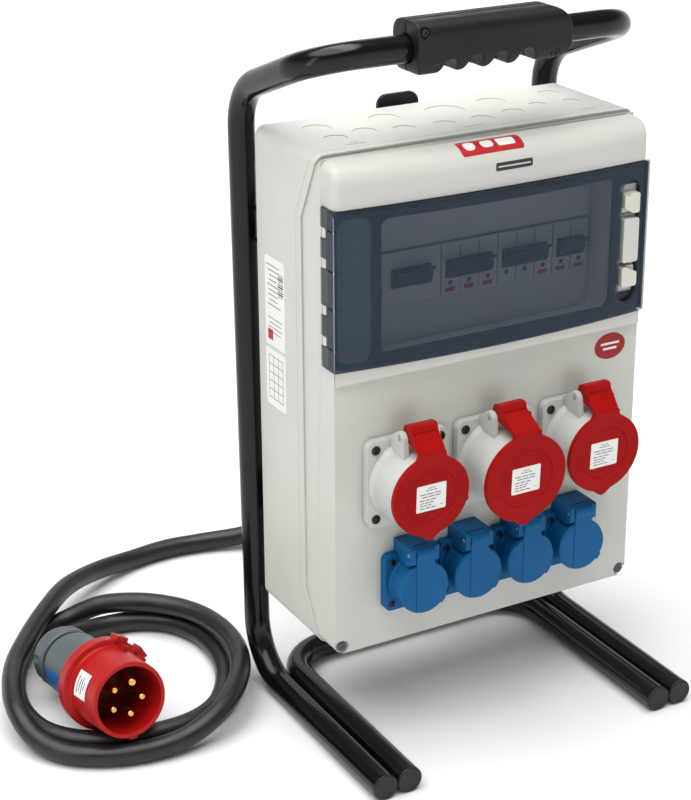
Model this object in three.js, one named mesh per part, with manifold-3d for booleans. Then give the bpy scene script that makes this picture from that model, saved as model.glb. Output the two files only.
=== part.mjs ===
// Portable power distribution box: a plastic enclosure in a tube carrying stand, with three industrial
// and four household sockets, a row of breakers behind a clear door, and a coiled supply lead.
// Millimetres, +Z up. The front panel faces -Y. The origin is on the floor, midway between the feet
// in X and midway between the stand's front and the cable hook's back in Y.
import * as THREE from "three";
import { mergeVertices } from "three/addons/utils/BufferGeometryUtils.js";
import Module from "manifold-3d";

// Driving dimensions.
const GAP = 0.3; // between pieces that touch
const PANEL_Y = -50; // where the front panel's plane lies; the box and the stand are drawn from it

const TUBE_R = 11;
const TUBE_BORE = 9.5;
const FOOT_X = 146.5; // the outer tube's centre lines
const INNER_FOOT_X = 124.1;
const TUBE_FRONT = -81.5;
const UPRIGHT_Y = 141; // at the floor
const SHOULDER_Y = 149.5; // the uprights lean back a little
const SHOULDER_Z = 528.5;
const HANDLE_Y = 24;
const HANDLE_Z = 576;
const CAP_THICK = 3;

const CASE_X = 146.5; // half the enclosure's width
const CASE_BOTTOM = 87;
const CASE_TOP = 504;
const CASE_BACK = 124.5;
const CASE_CORNER = 8;
const WALL = 3;
const COVER_WALL = 2.5;
const COVER_X = CASE_X - 1.5;
const COVER_BOTTOM = CASE_BOTTOM + 1.5;
const COVER_TOP = CASE_TOP - 3;
const FLANGE = 9; // width of the cover's rim along the seam
// The seam between cover and rear case, as (y, z), from below the bottom to above the top.
const SEAM = [[31.3, 80], [58, 131], [58, 449], [28.05, 510]];
const RAIL_Z = { lower_rail: 180, upper_rail: 420 };
const RAIL_HALF = 15;
const RAIL_X = 144;
const HOOK_X = -8;
const HOOK_HALF = 19.5;
const HOOK_BACK = 184.5;
const HOOK_ARM_Z = 440;
const HOOK_TOP = 511;

const HEADER_Z = 466.8;
const DOOR_X = 147;
const DOOR_Z = [337.5, 466];
const DOOR_THICK = 3;
const DOOR_EDGE_Y = -4;
const DOOR_BOW = 10;
const DOOR_AXIS = [-144, 13]; // x, y of the hinge line
const CLIP_Z = [[418.7, 450.6], [355.7, 388.6]];
const CLIP_EAR = 7.6; // height of each of a clip's two ears
const POCKET_X = 143.4; // the cover is this wide behind the door's side walls
const LATCH_X = 128;
const LATCH_BLOCK_Z = [383, 420.5];
const LATCH_Z = { upper: [424.7, 441.8], lower: [361.7, 378.8] };
const LATCH_TRAVEL = 3.5;

const MODULE = 17.8; // pitch of one breaker module
const MODULE_Z = 395;
const NOSE_Y = 22;
const NOSE_HALF = 22;
const LEVER_Y = 27;
const LEVER_R = 8.5;
const LEVER_TIP = 18;
const LEVER_ON = THREE.MathUtils.degToRad(27);
const RAIL_FRONT = 82;
const WINDOW = [-109, 109, 340, 454];

const INDUSTRIAL_Z = 237.2;
const INDUSTRIAL_FLANGE = 75;
const INDUSTRIAL_PIN = [-22, 43.5]; // y, z from the socket's centre on the panel
const INDUSTRIAL_TILT = THREE.MathUtils.degToRad(2.5);
const INDUSTRIAL = [
  { x: -82.3, lidRadius: 34.5, front: 39 },
  { x: 1, lidRadius: 37.75, front: 48 },
  { x: 84.3, lidRadius: 34.5, front: 39 },
];
const HOUSEHOLD_Z = 146;
const HOUSEHOLD_X = [-78.2, -26.6, 25, 76.6];
const HOUSEHOLD_FLANGE = 50;
const HOUSEHOLD_PIN = [-24.5, 30.8];
const FLANGE_THICK = 8;

const GLAND = { x: 60, z: 117, end: 162 };
const CABLE_R = 9;
// The lead from the gland to the plug, in the object's own frame: down to the floor, one outer turn
// that rides over the inner one on the left and the right, then the inner turn on the floor.
const CABLE_ROUTE = [
  [60, 112.3, 117], [60, 145, 117], [57, 185, 109], [44, 222, 91], [22, 257, 64], [-8, 288, 36],
  [-46, 316, 15], [-87, 332, 9.6], [-125, 337, 9.6], [-165, 332, 10], [-208, 314, 17], [-253, 281, 26],
  [-292, 239, 28.2], [-323, 200, 28.2], [-347, 164, 28.2], [-362, 128, 28.2], [-369, 96, 25],
  [-365, 68, 15], [-350, 43, 9.6], [-323, 22.5, 9.6], [-289, 11.5, 9.6], [-252, 9, 14], [-219, 17, 24],
  [-192, 42, 28.2], [-173, 73, 28.2], [-163, 106, 28.2], [-162, 140, 28.2], [-170, 173, 28.2],
  [-187, 199, 28.2], [-211, 219, 28.2], [-238, 238, 23], [-264, 248, 12], [-291, 241, 9.6],
  [-316, 218, 9.6], [-337, 186, 9.6], [-351, 152, 9.6], [-357, 118, 9.6], [-353, 84, 9.6],
  [-337, 58.5, 9.6], [-310, 40.5, 9.6], [-275, 32.5, 9.6], [-239, 33, 9.6], [-211, 46, 9.6],
  [-190, 71, 9.6], [-175, 103, 9.6], [-168.5, 138, 9.6], [-172, 173, 9.6], [-188, 202, 9.6],
  [-213, 218, 9.6], [-242, 222, 10], [-270, 216, 13], [-292, 202, 20], [-305, 186, 27],
  [-308.5, 172.3, 29.9], [-307.83, 160.5, 31.92],
];
const PLUG_REAR = [-307.8, 160, 32];
const PLUG_FRONT = [-299, 19, 56];
const PLUG_EARTH = THREE.MathUtils.degToRad(62); // where the larger earth pin is, from +X towards +Z

const wasm = await Module();
wasm.setup();
const object = new THREE.Group();
const body = new THREE.Group();
body.position.y = PANEL_Y;
object.add(body);

// Solids from three.js geometry, and back.
function solid(geometry) {
  const bare = geometry.clone();
  bare.deleteAttribute("normal");
  bare.deleteAttribute("uv");
  const merged = mergeVertices(bare, 1e-4);
  const index = merged.index.array;
  const kept = [];
  for (let i = 0; i < index.length; i += 3) {
    const [a, b, c] = [index[i], index[i + 1], index[i + 2]];
    if (a !== b && b !== c && c !== a) kept.push(a, b, c);
  }
  return new wasm.Manifold(
    new wasm.Mesh({
      numProp: 3,
      vertProperties: Float32Array.from(merged.attributes.position.array),
      triVerts: Uint32Array.from(kept),
    }),
  );
}

function toGeometry(manifold) {
  const mesh = manifold.getMesh();
  const geometry = new THREE.BufferGeometry();
  geometry.setAttribute("position", new THREE.BufferAttribute(mesh.vertProperties, 3));
  geometry.setIndex(new THREE.BufferAttribute(mesh.triVerts, 1));
  return geometry;
}

function join(...solids) {
  return solids.reduce((whole, next) => whole.add(next));
}

function cut(whole, ...tools) {
  return tools.reduce((rest, tool) => rest.subtract(tool), whole);
}

function material(color, roughness, metalness = 0, extra = {}) {
  return new THREE.MeshStandardMaterial({ color, roughness, metalness, ...extra });
}

const LIGHT_PLASTIC = material(0xbdbeb8, 0.5);
const DARK_PLASTIC = material(0x1d1e20, 0.6);
const BLACK_TUBE = material(0x18191b, 0.35, 0.4);
const BLACK_SOFT = material(0x1b1b1c, 0.8);
const GREY_PLASTIC = material(0x5f6b6d, 0.5);
const RED_PLASTIC = material(0xa81d1b, 0.35);
const BLUE_PLASTIC = material(0x24588a, 0.4);
const CLIP_PLASTIC = material(0xc9c9bc, 0.5);
const STEEL = material(0xb4b6b8, 0.3, 0.9);
const BRASS = material(0xc99a4a, 0.3, 0.9);
const MODULE_PLASTIC = material(0xd9dad6, 0.45);
const SMOKED = material(0x3f4c58, 0.1, 0, { transparent: true, opacity: 0.55 });

function place(name, shape, look, group = body) {
  const mesh = new THREE.Mesh(shape.isBufferGeometry ? shape : toGeometry(shape), look);
  mesh.name = name;
  group.add(mesh);
  return mesh;
}

// Outlines and prisms.
function outline(points) {
  return new THREE.Shape(points.map(([a, b]) => new THREE.Vector2(a, b)));
}

function roundedRect(left, right, low, high, radius) {
  const shape = new THREE.Shape();
  shape.moveTo(left + radius, low);
  shape.absarc(right - radius, low + radius, radius, -Math.PI / 2, 0, false);
  shape.absarc(right - radius, high - radius, radius, 0, Math.PI / 2, false);
  shape.absarc(left + radius, high - radius, radius, Math.PI / 2, Math.PI, false);
  shape.absarc(left + radius, low + radius, radius, Math.PI, 1.5 * Math.PI, false);
  return shape;
}

// A polygon of the given count of sides whose flats, not corners, lie at the radius.
function ngon(radius, sides = 12, centre = [0, 0]) {
  const corner = radius / Math.cos(Math.PI / sides);
  const points = [];
  for (let i = 0; i < sides; i += 1) {
    const angle = ((i + 0.5) * 2 * Math.PI) / sides;
    points.push([centre[0] + corner * Math.cos(angle), centre[1] + corner * Math.sin(angle)]);
  }
  return outline(points);
}

function extrude(shape, depth, basis, origin, curveSegments) {
  const geometry = new THREE.ExtrudeGeometry(shape, { depth, bevelEnabled: false, curveSegments });
  const matrix = new THREE.Matrix4().makeBasis(...basis.map((v) => new THREE.Vector3(...v)));
  geometry.applyMatrix4(matrix.setPosition(...origin));
  return solid(geometry);
}

// A prism along X from a (y, z) outline, along Y from an (x, z) one, along Z from an (x, y) one.
function alongX(shape, from, to, curveSegments = 3) {
  return extrude(shape, to - from, [[0, 1, 0], [0, 0, 1], [1, 0, 0]], [from, 0, 0], curveSegments);
}

function alongY(shape, from, to, curveSegments = 3) {
  return extrude(shape, to - from, [[1, 0, 0], [0, 0, 1], [0, -1, 0]], [0, to, 0], curveSegments);
}

function alongZ(shape, from, to, curveSegments = 3) {
  return extrude(shape, to - from, [[1, 0, 0], [0, 1, 0], [0, 0, 1]], [0, 0, from], curveSegments);
}

function box(x0, x1, y0, y1, z0, z1) {
  const geometry = new THREE.BoxGeometry(x1 - x0, y1 - y0, z1 - z0);
  geometry.translate((x0 + x1) / 2, (y0 + y1) / 2, (z0 + z1) / 2);
  return solid(geometry);
}

// A solid of revolution about Y through (x, z), from (radius, y) points that start and end on the
// axis and rise in y.
function turned(points, x, z, segments = 18) {
  const profile = points.map(([r, y]) => new THREE.Vector2(r, y));
  const geometry = new THREE.LatheGeometry(profile, segments);
  geometry.translate(x, 0, z);
  return solid(geometry);
}

function cylinderX(radius, x0, x1, y, z, sides = 10) {
  return alongX(ngon(radius, sides, [y, z]), x0, x1);
}

function cylinderY(radius, y0, y1, x, z, sides = 16) {
  return alongY(ngon(radius, sides, [x, z]), y0, y1);
}

function cylinderZ(radius, z0, z1, x, y, sides = 12) {
  return alongZ(ngon(radius, sides, [x, y]), z0, z1);
}

// An outline in plan that is straight at the back and bows towards -Y at the front.
function bowed(halfWidth, edgeY, bow, backY) {
  const radius = (halfWidth ** 2 + bow ** 2) / (2 * bow);
  const half = Math.asin(halfWidth / radius);
  const shape = new THREE.Shape();
  shape.moveTo(-halfWidth, edgeY);
  shape.absarc(0, edgeY - bow + radius, radius, -Math.PI / 2 - half, -Math.PI / 2 + half, false);
  shape.lineTo(halfWidth, backY);
  shape.lineTo(-halfWidth, backY);
  return shape;
}

// A path through listed corners with round bends, and its tube.
class BentPath extends THREE.Curve {
  constructor(corners, radii, degreesPerStep = 22.5) {
    super();
    const points = corners.map((corner) => new THREE.Vector3(...corner));
    this.vertices = [points[0]];
    for (let i = 1; i < points.length - 1; i += 1) {
      this.addBend(points[i - 1], points[i], points[i + 1], radii[i - 1], degreesPerStep);
    }
    this.vertices.push(points[points.length - 1]);
  }

  addBend(before, corner, after, radius, degreesPerStep) {
    const into = corner.clone().sub(before).normalize();
    const out = after.clone().sub(corner).normalize();
    const turn = into.angleTo(out);
    const start = corner.clone().addScaledVector(into, -radius * Math.tan(turn / 2));
    const inward = out.clone().addScaledVector(into, -out.dot(into)).normalize();
    const steps = Math.round(THREE.MathUtils.radToDeg(turn) / degreesPerStep);
    for (let i = 0; i <= steps; i += 1) {
      const angle = (turn * i) / steps;
      const point = start.clone().addScaledVector(into, radius * Math.sin(angle));
      this.vertices.push(point.addScaledVector(inward, radius * (1 - Math.cos(angle))));
    }
  }

  getUtoTmapping(u) {
    return u;
  }

  getPoint(t) {
    const last = this.vertices.length - 1;
    const index = Math.min(Math.floor(t * last + 1e-9), last - 1);
    return this.vertices[index].clone().lerp(this.vertices[index + 1], t * last - index);
  }

  getTangent(t) {
    const last = this.vertices.length - 1;
    const index = Math.round(t * last);
    const tangent = new THREE.Vector3();
    for (const i of [index - 1, index]) {
      if (i < 0 || i >= last) continue;
      tangent.add(this.vertices[i + 1].clone().sub(this.vertices[i]).normalize());
    }
    return tangent.normalize();
  }
}

function bentTube(corners, radii) {
  const path = new BentPath(corners, radii);
  const section = ngon(TUBE_R);
  section.holes.push(ngon(TUBE_BORE, 8));
  return new THREE.ExtrudeGeometry(section, { extrudePath: path, steps: path.vertices.length - 1 });
}

// Carrying stand.
function stand() {
  const side = (sign) => [
    [sign * FOOT_X, TUBE_FRONT, TUBE_R],
    [sign * FOOT_X, UPRIGHT_Y, TUBE_R],
    [sign * FOOT_X, SHOULDER_Y, SHOULDER_Z],
    [sign * FOOT_X, HANDLE_Y, HANDLE_Z],
  ];
  const corners = [...side(-1), ...side(1).reverse()];
  place("stand_frame", bentTube(corners, [48, 44, 38, 38, 44, 48]), BLACK_TUBE);
  const base = [
    [-INNER_FOOT_X, TUBE_FRONT, TUBE_R],
    [-INNER_FOOT_X, UPRIGHT_Y, TUBE_R],
    [INNER_FOOT_X, UPRIGHT_Y, TUBE_R],
    [INNER_FOOT_X, TUBE_FRONT, TUBE_R],
  ];
  place("base_tube", bentTube(base, [45, 45]), BLACK_TUBE);
  const caps = {
    outer_left: -FOOT_X,
    inner_left: -INNER_FOOT_X,
    inner_right: INNER_FOOT_X,
    outer_right: FOOT_X,
  };
  for (const [where, x] of Object.entries(caps)) {
    const disc = cylinderY(TUBE_R, TUBE_FRONT - CAP_THICK, TUBE_FRONT - GAP, x, TUBE_R, 12);
    const spigot = cylinderY(8.5, TUBE_FRONT - CAP_THICK + 1, TUBE_FRONT + 12, x, TUBE_R, 8);
    place(`end_cap_${where}`, join(disc, spigot), BLACK_SOFT);
  }
}

function grip() {
  const [left, right, low, high] = [-68.5, 71, 557.5, 598];
  const front = new THREE.Shape();
  front.moveTo(left, low + 5);
  front.lineTo(left, high - 2);
  front.lineTo(left + 2, high);
  front.lineTo(right - 16, high);
  front.quadraticCurveTo(right, high, right, high - 17);
  front.quadraticCurveTo(right, low, right - 14, low);
  front.lineTo(38, low);
  for (const ridge of [16, -7.5, -30]) {
    front.quadraticCurveTo(ridge + 13, low + 8, ridge + 5, low);
    front.lineTo(ridge - 4, low);
  }
  front.quadraticCurveTo(-40, low + 8, -47.5, low);
  front.lineTo(left + 3, low);
  const across = roundedRect(HANDLE_Y - 20, HANDLE_Y + 20, low - 1, high, 12);
  const whole = cut(
    alongY(front, HANDLE_Y - 22, HANDLE_Y + 22).intersect(alongX(across, -80, 80)),
    cylinderX(TUBE_R + 0.8, -90, 90, HANDLE_Y, HANDLE_Z, 12),
    box(-90, 90, HANDLE_Y - GAP / 2, HANDLE_Y + GAP / 2, 540, 620),
  );
  place("grip_front", whole.intersect(box(-90, 90, -20, HANDLE_Y, 540, 620)), BLACK_SOFT);
  place("grip_rear", whole.intersect(box(-90, 90, HANDLE_Y, 60, 540, 620)), BLACK_SOFT);
}

// Two channels between the case and the uprights, open towards the back, and the hook on the
// upper one.
function rails() {
  const front = CASE_BACK + GAP;
  let back = front;
  for (const [name, z] of Object.entries(RAIL_Z)) {
    const lean = ((SHOULDER_Y - UPRIGHT_Y) * (z - RAIL_HALF)) / (SHOULDER_Z - TUBE_R);
    back = UPRIGHT_Y + lean - TUBE_R - 0.9;
    const [low, high] = [z - RAIL_HALF, z + RAIL_HALF];
    const channel = outline([
      [front, low], [back, low], [back, low + 3], [front + 3, low + 3],
      [front + 3, high - 3], [back, high - 3], [back, high], [front, high],
    ]);
    place(name, alongX(channel, -RAIL_X, RAIL_X), BLACK_TUBE);
  }
  const start = back + GAP;
  const [low, arm, top] = [RAIL_Z.upper_rail - 13, HOOK_ARM_Z, HOOK_TOP];
  const bar = outline([
    [start, low], [start + 4, low], [start + 4, arm], [HOOK_BACK, arm],
    [HOOK_BACK, arm + 36], [HOOK_BACK - 4, arm + 36], [HOOK_BACK - 4, arm + 4], [start + 4, arm + 4],
    [start + 4, top], [start, top],
  ]);
  const [left, right] = [HOOK_X - HOOK_HALF, HOOK_X + HOOK_HALF];
  const width = alongY(roundedRect(left, right, low, top, 8), start - 1, HOOK_BACK + 5);
  place("cable_hook", alongX(bar, left, right).intersect(width), BLACK_SOFT);
}

// The region between two offsets in Y from the seam, right across the enclosure.
function seamBand(from, to) {
  const near = SEAM.map(([y, z]) => [y + from, z]);
  const far = SEAM.map(([y, z]) => [y + to, z]).reverse();
  return alongX(outline([...near, ...far]), -CASE_X - 5, CASE_X + 5);
}

function enclosureOutline(inset, radius = CASE_CORNER - inset) {
  return roundedRect(
    -CASE_X + inset, CASE_X - inset, CASE_BOTTOM + inset, CASE_TOP - inset, Math.max(radius, 2),
  );
}

function rearCase() {
  let shell = cut(
    alongY(enclosureOutline(0), 0, CASE_BACK),
    alongY(enclosureOutline(WALL), -1, CASE_BACK - WALL),
  ).intersect(seamBand(GAP / 2, 200));
  const bosses = [-80, 80].map((x) => {
    return box(x - 7, x + 7, RAIL_FRONT + 7.5 + GAP, CASE_BACK - 1, MODULE_Z - 12, MODULE_Z + 12);
  });
  shell = join(shell, ...bosses);
  const entry = cylinderY(12.5, CASE_BACK - WALL - 1, CASE_BACK + 1, GLAND.x, GLAND.z, 16);
  place("rear_case", cut(shell, entry), LIGHT_PLASTIC);
  const ring = cut(
    alongY(enclosureOutline(4.3), 0, 90),
    alongY(enclosureOutline(6.3), -1, 91),
  ).intersect(seamBand(-3, 3));
  const clear = alongY(coverOutline(COVER_WALL + GAP), -1, 91);
  place("case_gasket", ring.intersect(clear), BLACK_SOFT);
}

function coverOutline(inset) {
  return roundedRect(
    -COVER_X + inset, COVER_X - inset, COVER_BOTTOM + inset, COVER_TOP - inset,
    Math.max(CASE_CORNER - 1 - inset, 2),
  );
}

function frontCover() {
  const headerProfile = new THREE.Shape();
  headerProfile.moveTo(60, HEADER_Z);
  headerProfile.lineTo(60, COVER_TOP);
  headerProfile.lineTo(5, COVER_TOP);
  headerProfile.quadraticCurveTo(-9.5, COVER_TOP, -9.5, COVER_TOP - 18);
  headerProfile.lineTo(-9.5, HEADER_Z);
  const header = alongZ(bowed(COVER_X, -3, 6.5, 20), HEADER_Z, COVER_TOP, 8).intersect(
    alongX(headerProfile, -CASE_X, CASE_X, 4),
  );
  const underLip = outline([[-20, 320], [-20, 329.5], [-11.5, 329.5], [0.5, 324], [0.5, 320]]);
  const lip = cut(
    alongZ(bowed(COVER_X - 1, -2.5, 9, 1), 324, DOOR_Z[0] - 1.2, 8),
    alongX(underLip, -CASE_X, CASE_X),
  );
  const rim = alongY(enclosureOutline(0), -20, 90).intersect(seamBand(-FLANGE, -GAP / 2));
  const outer = join(alongY(coverOutline(0), 0, 90), header).intersect(seamBand(-90, -GAP / 2));
  const inside = join(
    alongY(coverOutline(COVER_WALL), COVER_WALL, 91),
    alongZ(bowed(COVER_X - COVER_WALL, -0.5, 6.5, 20), HEADER_Z + 3, COVER_TOP - 9, 6),
  );
  const [left, right, low, high] = WINDOW;
  const recess = roundedRect(left - 2.5, right + 2.5, low - 2.5, high + 2.5, 12);
  const latchFace = roundedRect(LATCH_X - 7.5, LATCH_X + 7.5, ...LATCH_BLOCK_Z, 2);
  const pocket = [DOOR_Z[0] - 1.2, HEADER_Z];
  let cover = join(
    cut(join(outer, rim), inside),
    lip,
    alongY(recess, 1, 25),
    alongY(latchFace, -8, 1, 2),
    box(-COVER_X + 1, -133.5, 1, 21, pocket[0] - 2.5, pocket[1] + 2.5),
    box(139, COVER_X - 1, 1, 12, pocket[0] - 2.5, pocket[1] + 2.5),
  );
  const cuts = [
    alongY(roundedRect(left, right, low, high, 10), -5, 30),
    box(-160, -POCKET_X, -20, DOOR_AXIS[1] + 4.5, ...pocket),
    box(POCKET_X, 160, -20, 8.6, ...pocket),
    cylinderZ(5.2, ...pocket, ...DOOR_AXIS),
  ];
  for (const [z0, z1] of CLIP_Z) {
    cuts.push(box(-140, -136, 8.5, 17.5, z0 - GAP, z1 + GAP));
  }
  for (const [z0, z1] of Object.values(LATCH_Z)) {
    const towardsBlock = z0 > MODULE_Z ? -LATCH_TRAVEL : 0;
    const away = z0 > MODULE_Z ? 0 : LATCH_TRAVEL;
    const slotLow = z0 + 2 + towardsBlock - 0.5;
    const slotHigh = z1 - 2 + away + 0.5;
    cuts.push(box(LATCH_X - 4.5, LATCH_X + 4.5, -2, 5, slotLow, slotHigh));
  }
  for (const { x } of INDUSTRIAL) {
    cuts.push(cylinderY(31, -5, 10, x, INDUSTRIAL_Z));
  }
  for (const x of HOUSEHOLD_X) {
    cuts.push(cylinderY(22.2, -5, 10, x, HOUSEHOLD_Z));
  }
  cover = cut(cover, ...cuts);
  place("front_cover", cover, LIGHT_PLASTIC);
  const plate = roundedRect(left - 2, right + 2, low - 2, high + 2, 10);
  const slot = roundedRect(-6 * MODULE - 0.4, 6 * MODULE + 0.4, MODULE_Z - 22.5, MODULE_Z + 22.5, 1);
  const moduleCover = cut(alongY(plate, 25.3, 27.5), alongY(slot, 24, 29, 1));
  place("module_cover", moduleCover, LIGHT_PLASTIC);
}

function door() {
  const inner = DOOR_X - DOOR_THICK + 0.2;
  const plan = bowed(DOOR_X, DOOR_EDGE_Y, DOOR_BOW, 16.5);
  const hollow = bowed(inner, DOOR_EDGE_Y + DOOR_THICK, DOOR_BOW, 30);
  const [low, high] = DOOR_Z;
  const shell = cut(
    alongZ(plan, low, high, 10),
    alongZ(hollow, low - 1, high - DOOR_THICK, 10),
    box(-inner, 160, -0.7, 30, high - DOOR_THICK - 1, high + 1),
    box(inner - 1, 160, 8, 30, low - 1, high + 1),
  );
  const knuckles = [];
  const openings = [alongY(roundedRect(LATCH_X - 10.5, LATCH_X + 9.5, 348, 453, 9.9), -30, 5)];
  for (const [z0, z1] of CLIP_Z) {
    knuckles.push(cylinderZ(3, z0 + CLIP_EAR + 0.7, z1 - CLIP_EAR - 0.7, ...DOOR_AXIS));
    for (const ear of [z0, z1 - CLIP_EAR]) {
      openings.push(box(-160, -140, 8, 30, ear - 0.4, ear + CLIP_EAR + 0.4));
    }
    openings.push(cylinderZ(1.9, z0 - 1, z1 + 1, ...DOOR_AXIS));
  }
  place("door", cut(join(shell, ...knuckles), ...openings), SMOKED);
  CLIP_Z.forEach(([z0, z1], i) => {
    const ears = [z0, z1 - CLIP_EAR].map((z) => {
      const ear = outline([
        [-146.6, 11.6], [-145.4, 10], [-137, 10], [-137, 16], [-145.4, 16], [-146.6, 14.4],
      ]);
      return alongZ(ear, z, z + CLIP_EAR);
    });
    const back = box(-138.4, -136.3, 8.8, 17.2, z0, z1);
    const pin = cylinderZ(1.5, z0 + 1, z1 - 1, ...DOOR_AXIS);
    place(`hinge_clip_${["upper", "lower"][i]}`, join(back, ...ears, pin), CLIP_PLASTIC);
  });
}

function latches() {
  for (const [which, [z0, z1]] of Object.entries(LATCH_Z)) {
    const head = alongY(roundedRect(LATCH_X - 7.5, LATCH_X + 7.5, z0, z1, 2), -8, -GAP, 2);
    const stem = box(LATCH_X - 4, LATCH_X + 4, -1, 4, z0 + 2, z1 - 2);
    const foot = box(LATCH_X - 7, LATCH_X + 7, COVER_WALL + GAP, 5.5, z0, z1);
    place(`latch_${which}`, join(head, stem, foot), CLIP_PLASTIC);
  }
}

// Breakers: a body with a nose that stands in the cover's slot, and a lever on a hub inside it.
function moduleBody(x0, x1) {
  const half = MODULE_Z;
  const side = outline([
    [NOSE_Y, half - NOSE_HALF], [39, half - NOSE_HALF], [39, half - 43], [RAIL_FRONT - GAP, half - 43],
    [RAIL_FRONT - GAP, half + 43], [39, half + 43], [39, half + NOSE_HALF], [NOSE_Y, half + NOSE_HALF],
  ]);
  return alongX(side, x0 + GAP / 2, x1 - GAP / 2);
}

function lever(x0, x1) {
  const hub = cylinderX(LEVER_R, x0, x1, 0, 0);
  const blade = outline([[-LEVER_TIP, -1.2], [-LEVER_TIP, 1.2], [-4, 2.4], [-4, -2.4]]);
  const width = x1 - x0;
  const parts = join(hub, alongX(blade, x0 + width * 0.06, x1 - width * 0.06));
  const geometry = toGeometry(parts);
  geometry.rotateX(-LEVER_ON);
  geometry.translate(0, LEVER_Y, MODULE_Z);
  return geometry;
}

function breakers() {
  const groups = [
    { name: "rcd", modules: 4, lever: [26, 62] },
    { name: "mcb_1", modules: 3, lever: [5, 48] },
    { name: "mcb_2", modules: 3, lever: [5, 48] },
    { name: "mcb_3", modules: 2, lever: [5, 30.6] },
  ];
  let x = -6 * MODULE;
  for (const { name, modules, lever: [from, to] } of groups) {
    const cavity = cylinderX(LEVER_R + 0.5, x + from - 0.5, x + to + 0.5, LEVER_Y, MODULE_Z);
    let shape = cut(moduleBody(x, x + modules * MODULE), cavity);
    if (name === "rcd") {
      shape = cut(shape, box(x + 7, x + 17, NOSE_Y - 1, NOSE_Y + 8, MODULE_Z - 13, MODULE_Z - 4));
      const button = box(x + 7.4, x + 16.6, NOSE_Y - 2, NOSE_Y + 5.5, MODULE_Z - 12.6, MODULE_Z - 4.4);
      place("rcd_test_button", button, BLUE_PLASTIC);
    }
    place(`${name}_body`, shape, MODULE_PLASTIC);
    place(`${name}_lever`, lever(x + from, x + to), DARK_PLASTIC);
    x += modules * MODULE;
  }
  const z = MODULE_Z;
  const back = RAIL_FRONT + 7.5;
  const hat = outline([
    [RAIL_FRONT, z - 17.5], [RAIL_FRONT + 1, z - 17.5], [RAIL_FRONT + 1, z - 12.5], [back, z - 12.5],
    [back, z + 12.5], [RAIL_FRONT + 1, z + 12.5], [RAIL_FRONT + 1, z + 17.5], [RAIL_FRONT, z + 17.5],
    [RAIL_FRONT, z + 11.5], [back - 1, z + 11.5], [back - 1, z - 11.5], [RAIL_FRONT, z - 11.5],
  ]);
  place("din_rail", alongX(hat, -6 * MODULE - 2, 6 * MODULE + 2), STEEL);
}

// Industrial sockets, drawn about the socket's centre on the panel.
function industrialSocket({ x, lidRadius, front }, number) {
  const group = new THREE.Group();
  group.position.set(x, 0, INDUSTRIAL_Z);
  body.add(group);
  const name = `industrial_${number}`;
  const half = INDUSTRIAL_FLANGE / 2;
  const [pinY, pinZ] = INDUSTRIAL_PIN;
  const tilted = (shape) => {
    const geometry = toGeometry(shape);
    geometry.rotateX(INDUSTRIAL_TILT);
    return solid(geometry);
  };
  const ear = outline([
    [-5, 28], [pinY - 8, 26], [pinY - 5.5, pinZ + 1], [pinY - 2, pinZ + 5], [pinY + 4, pinZ + 4], [-5, 37.5],
  ]);
  const housing = cut(
    join(
      alongY(roundedRect(-half, half, -half, half, 6), -FLANGE_THICK, -GAP),
      tilted(cylinderY(33, -front, -2, 0, 0)),
      cylinderY(30.5, -2, 45, 0, 0),
      alongX(ear, 12.4, 17),
      alongX(ear, -17, -12.4),
    ),
    tilted(cylinderY(29.5, -front - 5, -4, 0, 0)),
    cylinderY(28, -6, 42, 0, 0),
    cylinderX(2.3, -20, 20, pinY, pinZ, 8),
  );
  place(`${name}_housing`, housing, LIGHT_PLASTIC, group);
  const contacts = [0, 1, 2, 3, 4].map((i) => {
    const angle = -Math.PI / 2 + (i * 2 * Math.PI) / 5;
    return cylinderY(i === 0 ? 3.6 : 2.9, -40, -5, 15 * Math.cos(angle), 15 * Math.sin(angle), 6);
  });
  const insert = cut(cylinderY(23, -front + 12, 41, 0, 0), ...contacts);
  place(`${name}_insert`, insert, DARK_PLASTIC, group);
  place(`${name}_pin`, cylinderX(2, -17.2, 17.2, pinY, pinZ, 8), STEEL, group);
  const face = -front - 5.3;
  const top = lidRadius + 1;
  const arm = outline([
    [face, top - 14], [face, top], [pinY - 11, pinZ + 7], [pinY - 8.5, pinZ + 11.5],
    [pinY + 1, pinZ + 10.5], [pinY + 4, pinZ], [pinY - 3.5, pinZ - 3],
    [-front - 2.5, 36], [-front - 2.5, top - 14],
  ]);
  const lid = cut(
    join(
      tilted(cylinderY(lidRadius, -front - 5, -front - GAP, 0, 0, 28)),
      alongX(arm, -12, 12),
      cylinderX(4.2, -12, 12, pinY, pinZ),
    ),
    cylinderX(2.4, -20, 20, pinY, pinZ, 8),
  );
  place(`${name}_lid`, lid, RED_PLASTIC, group);
}

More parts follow.
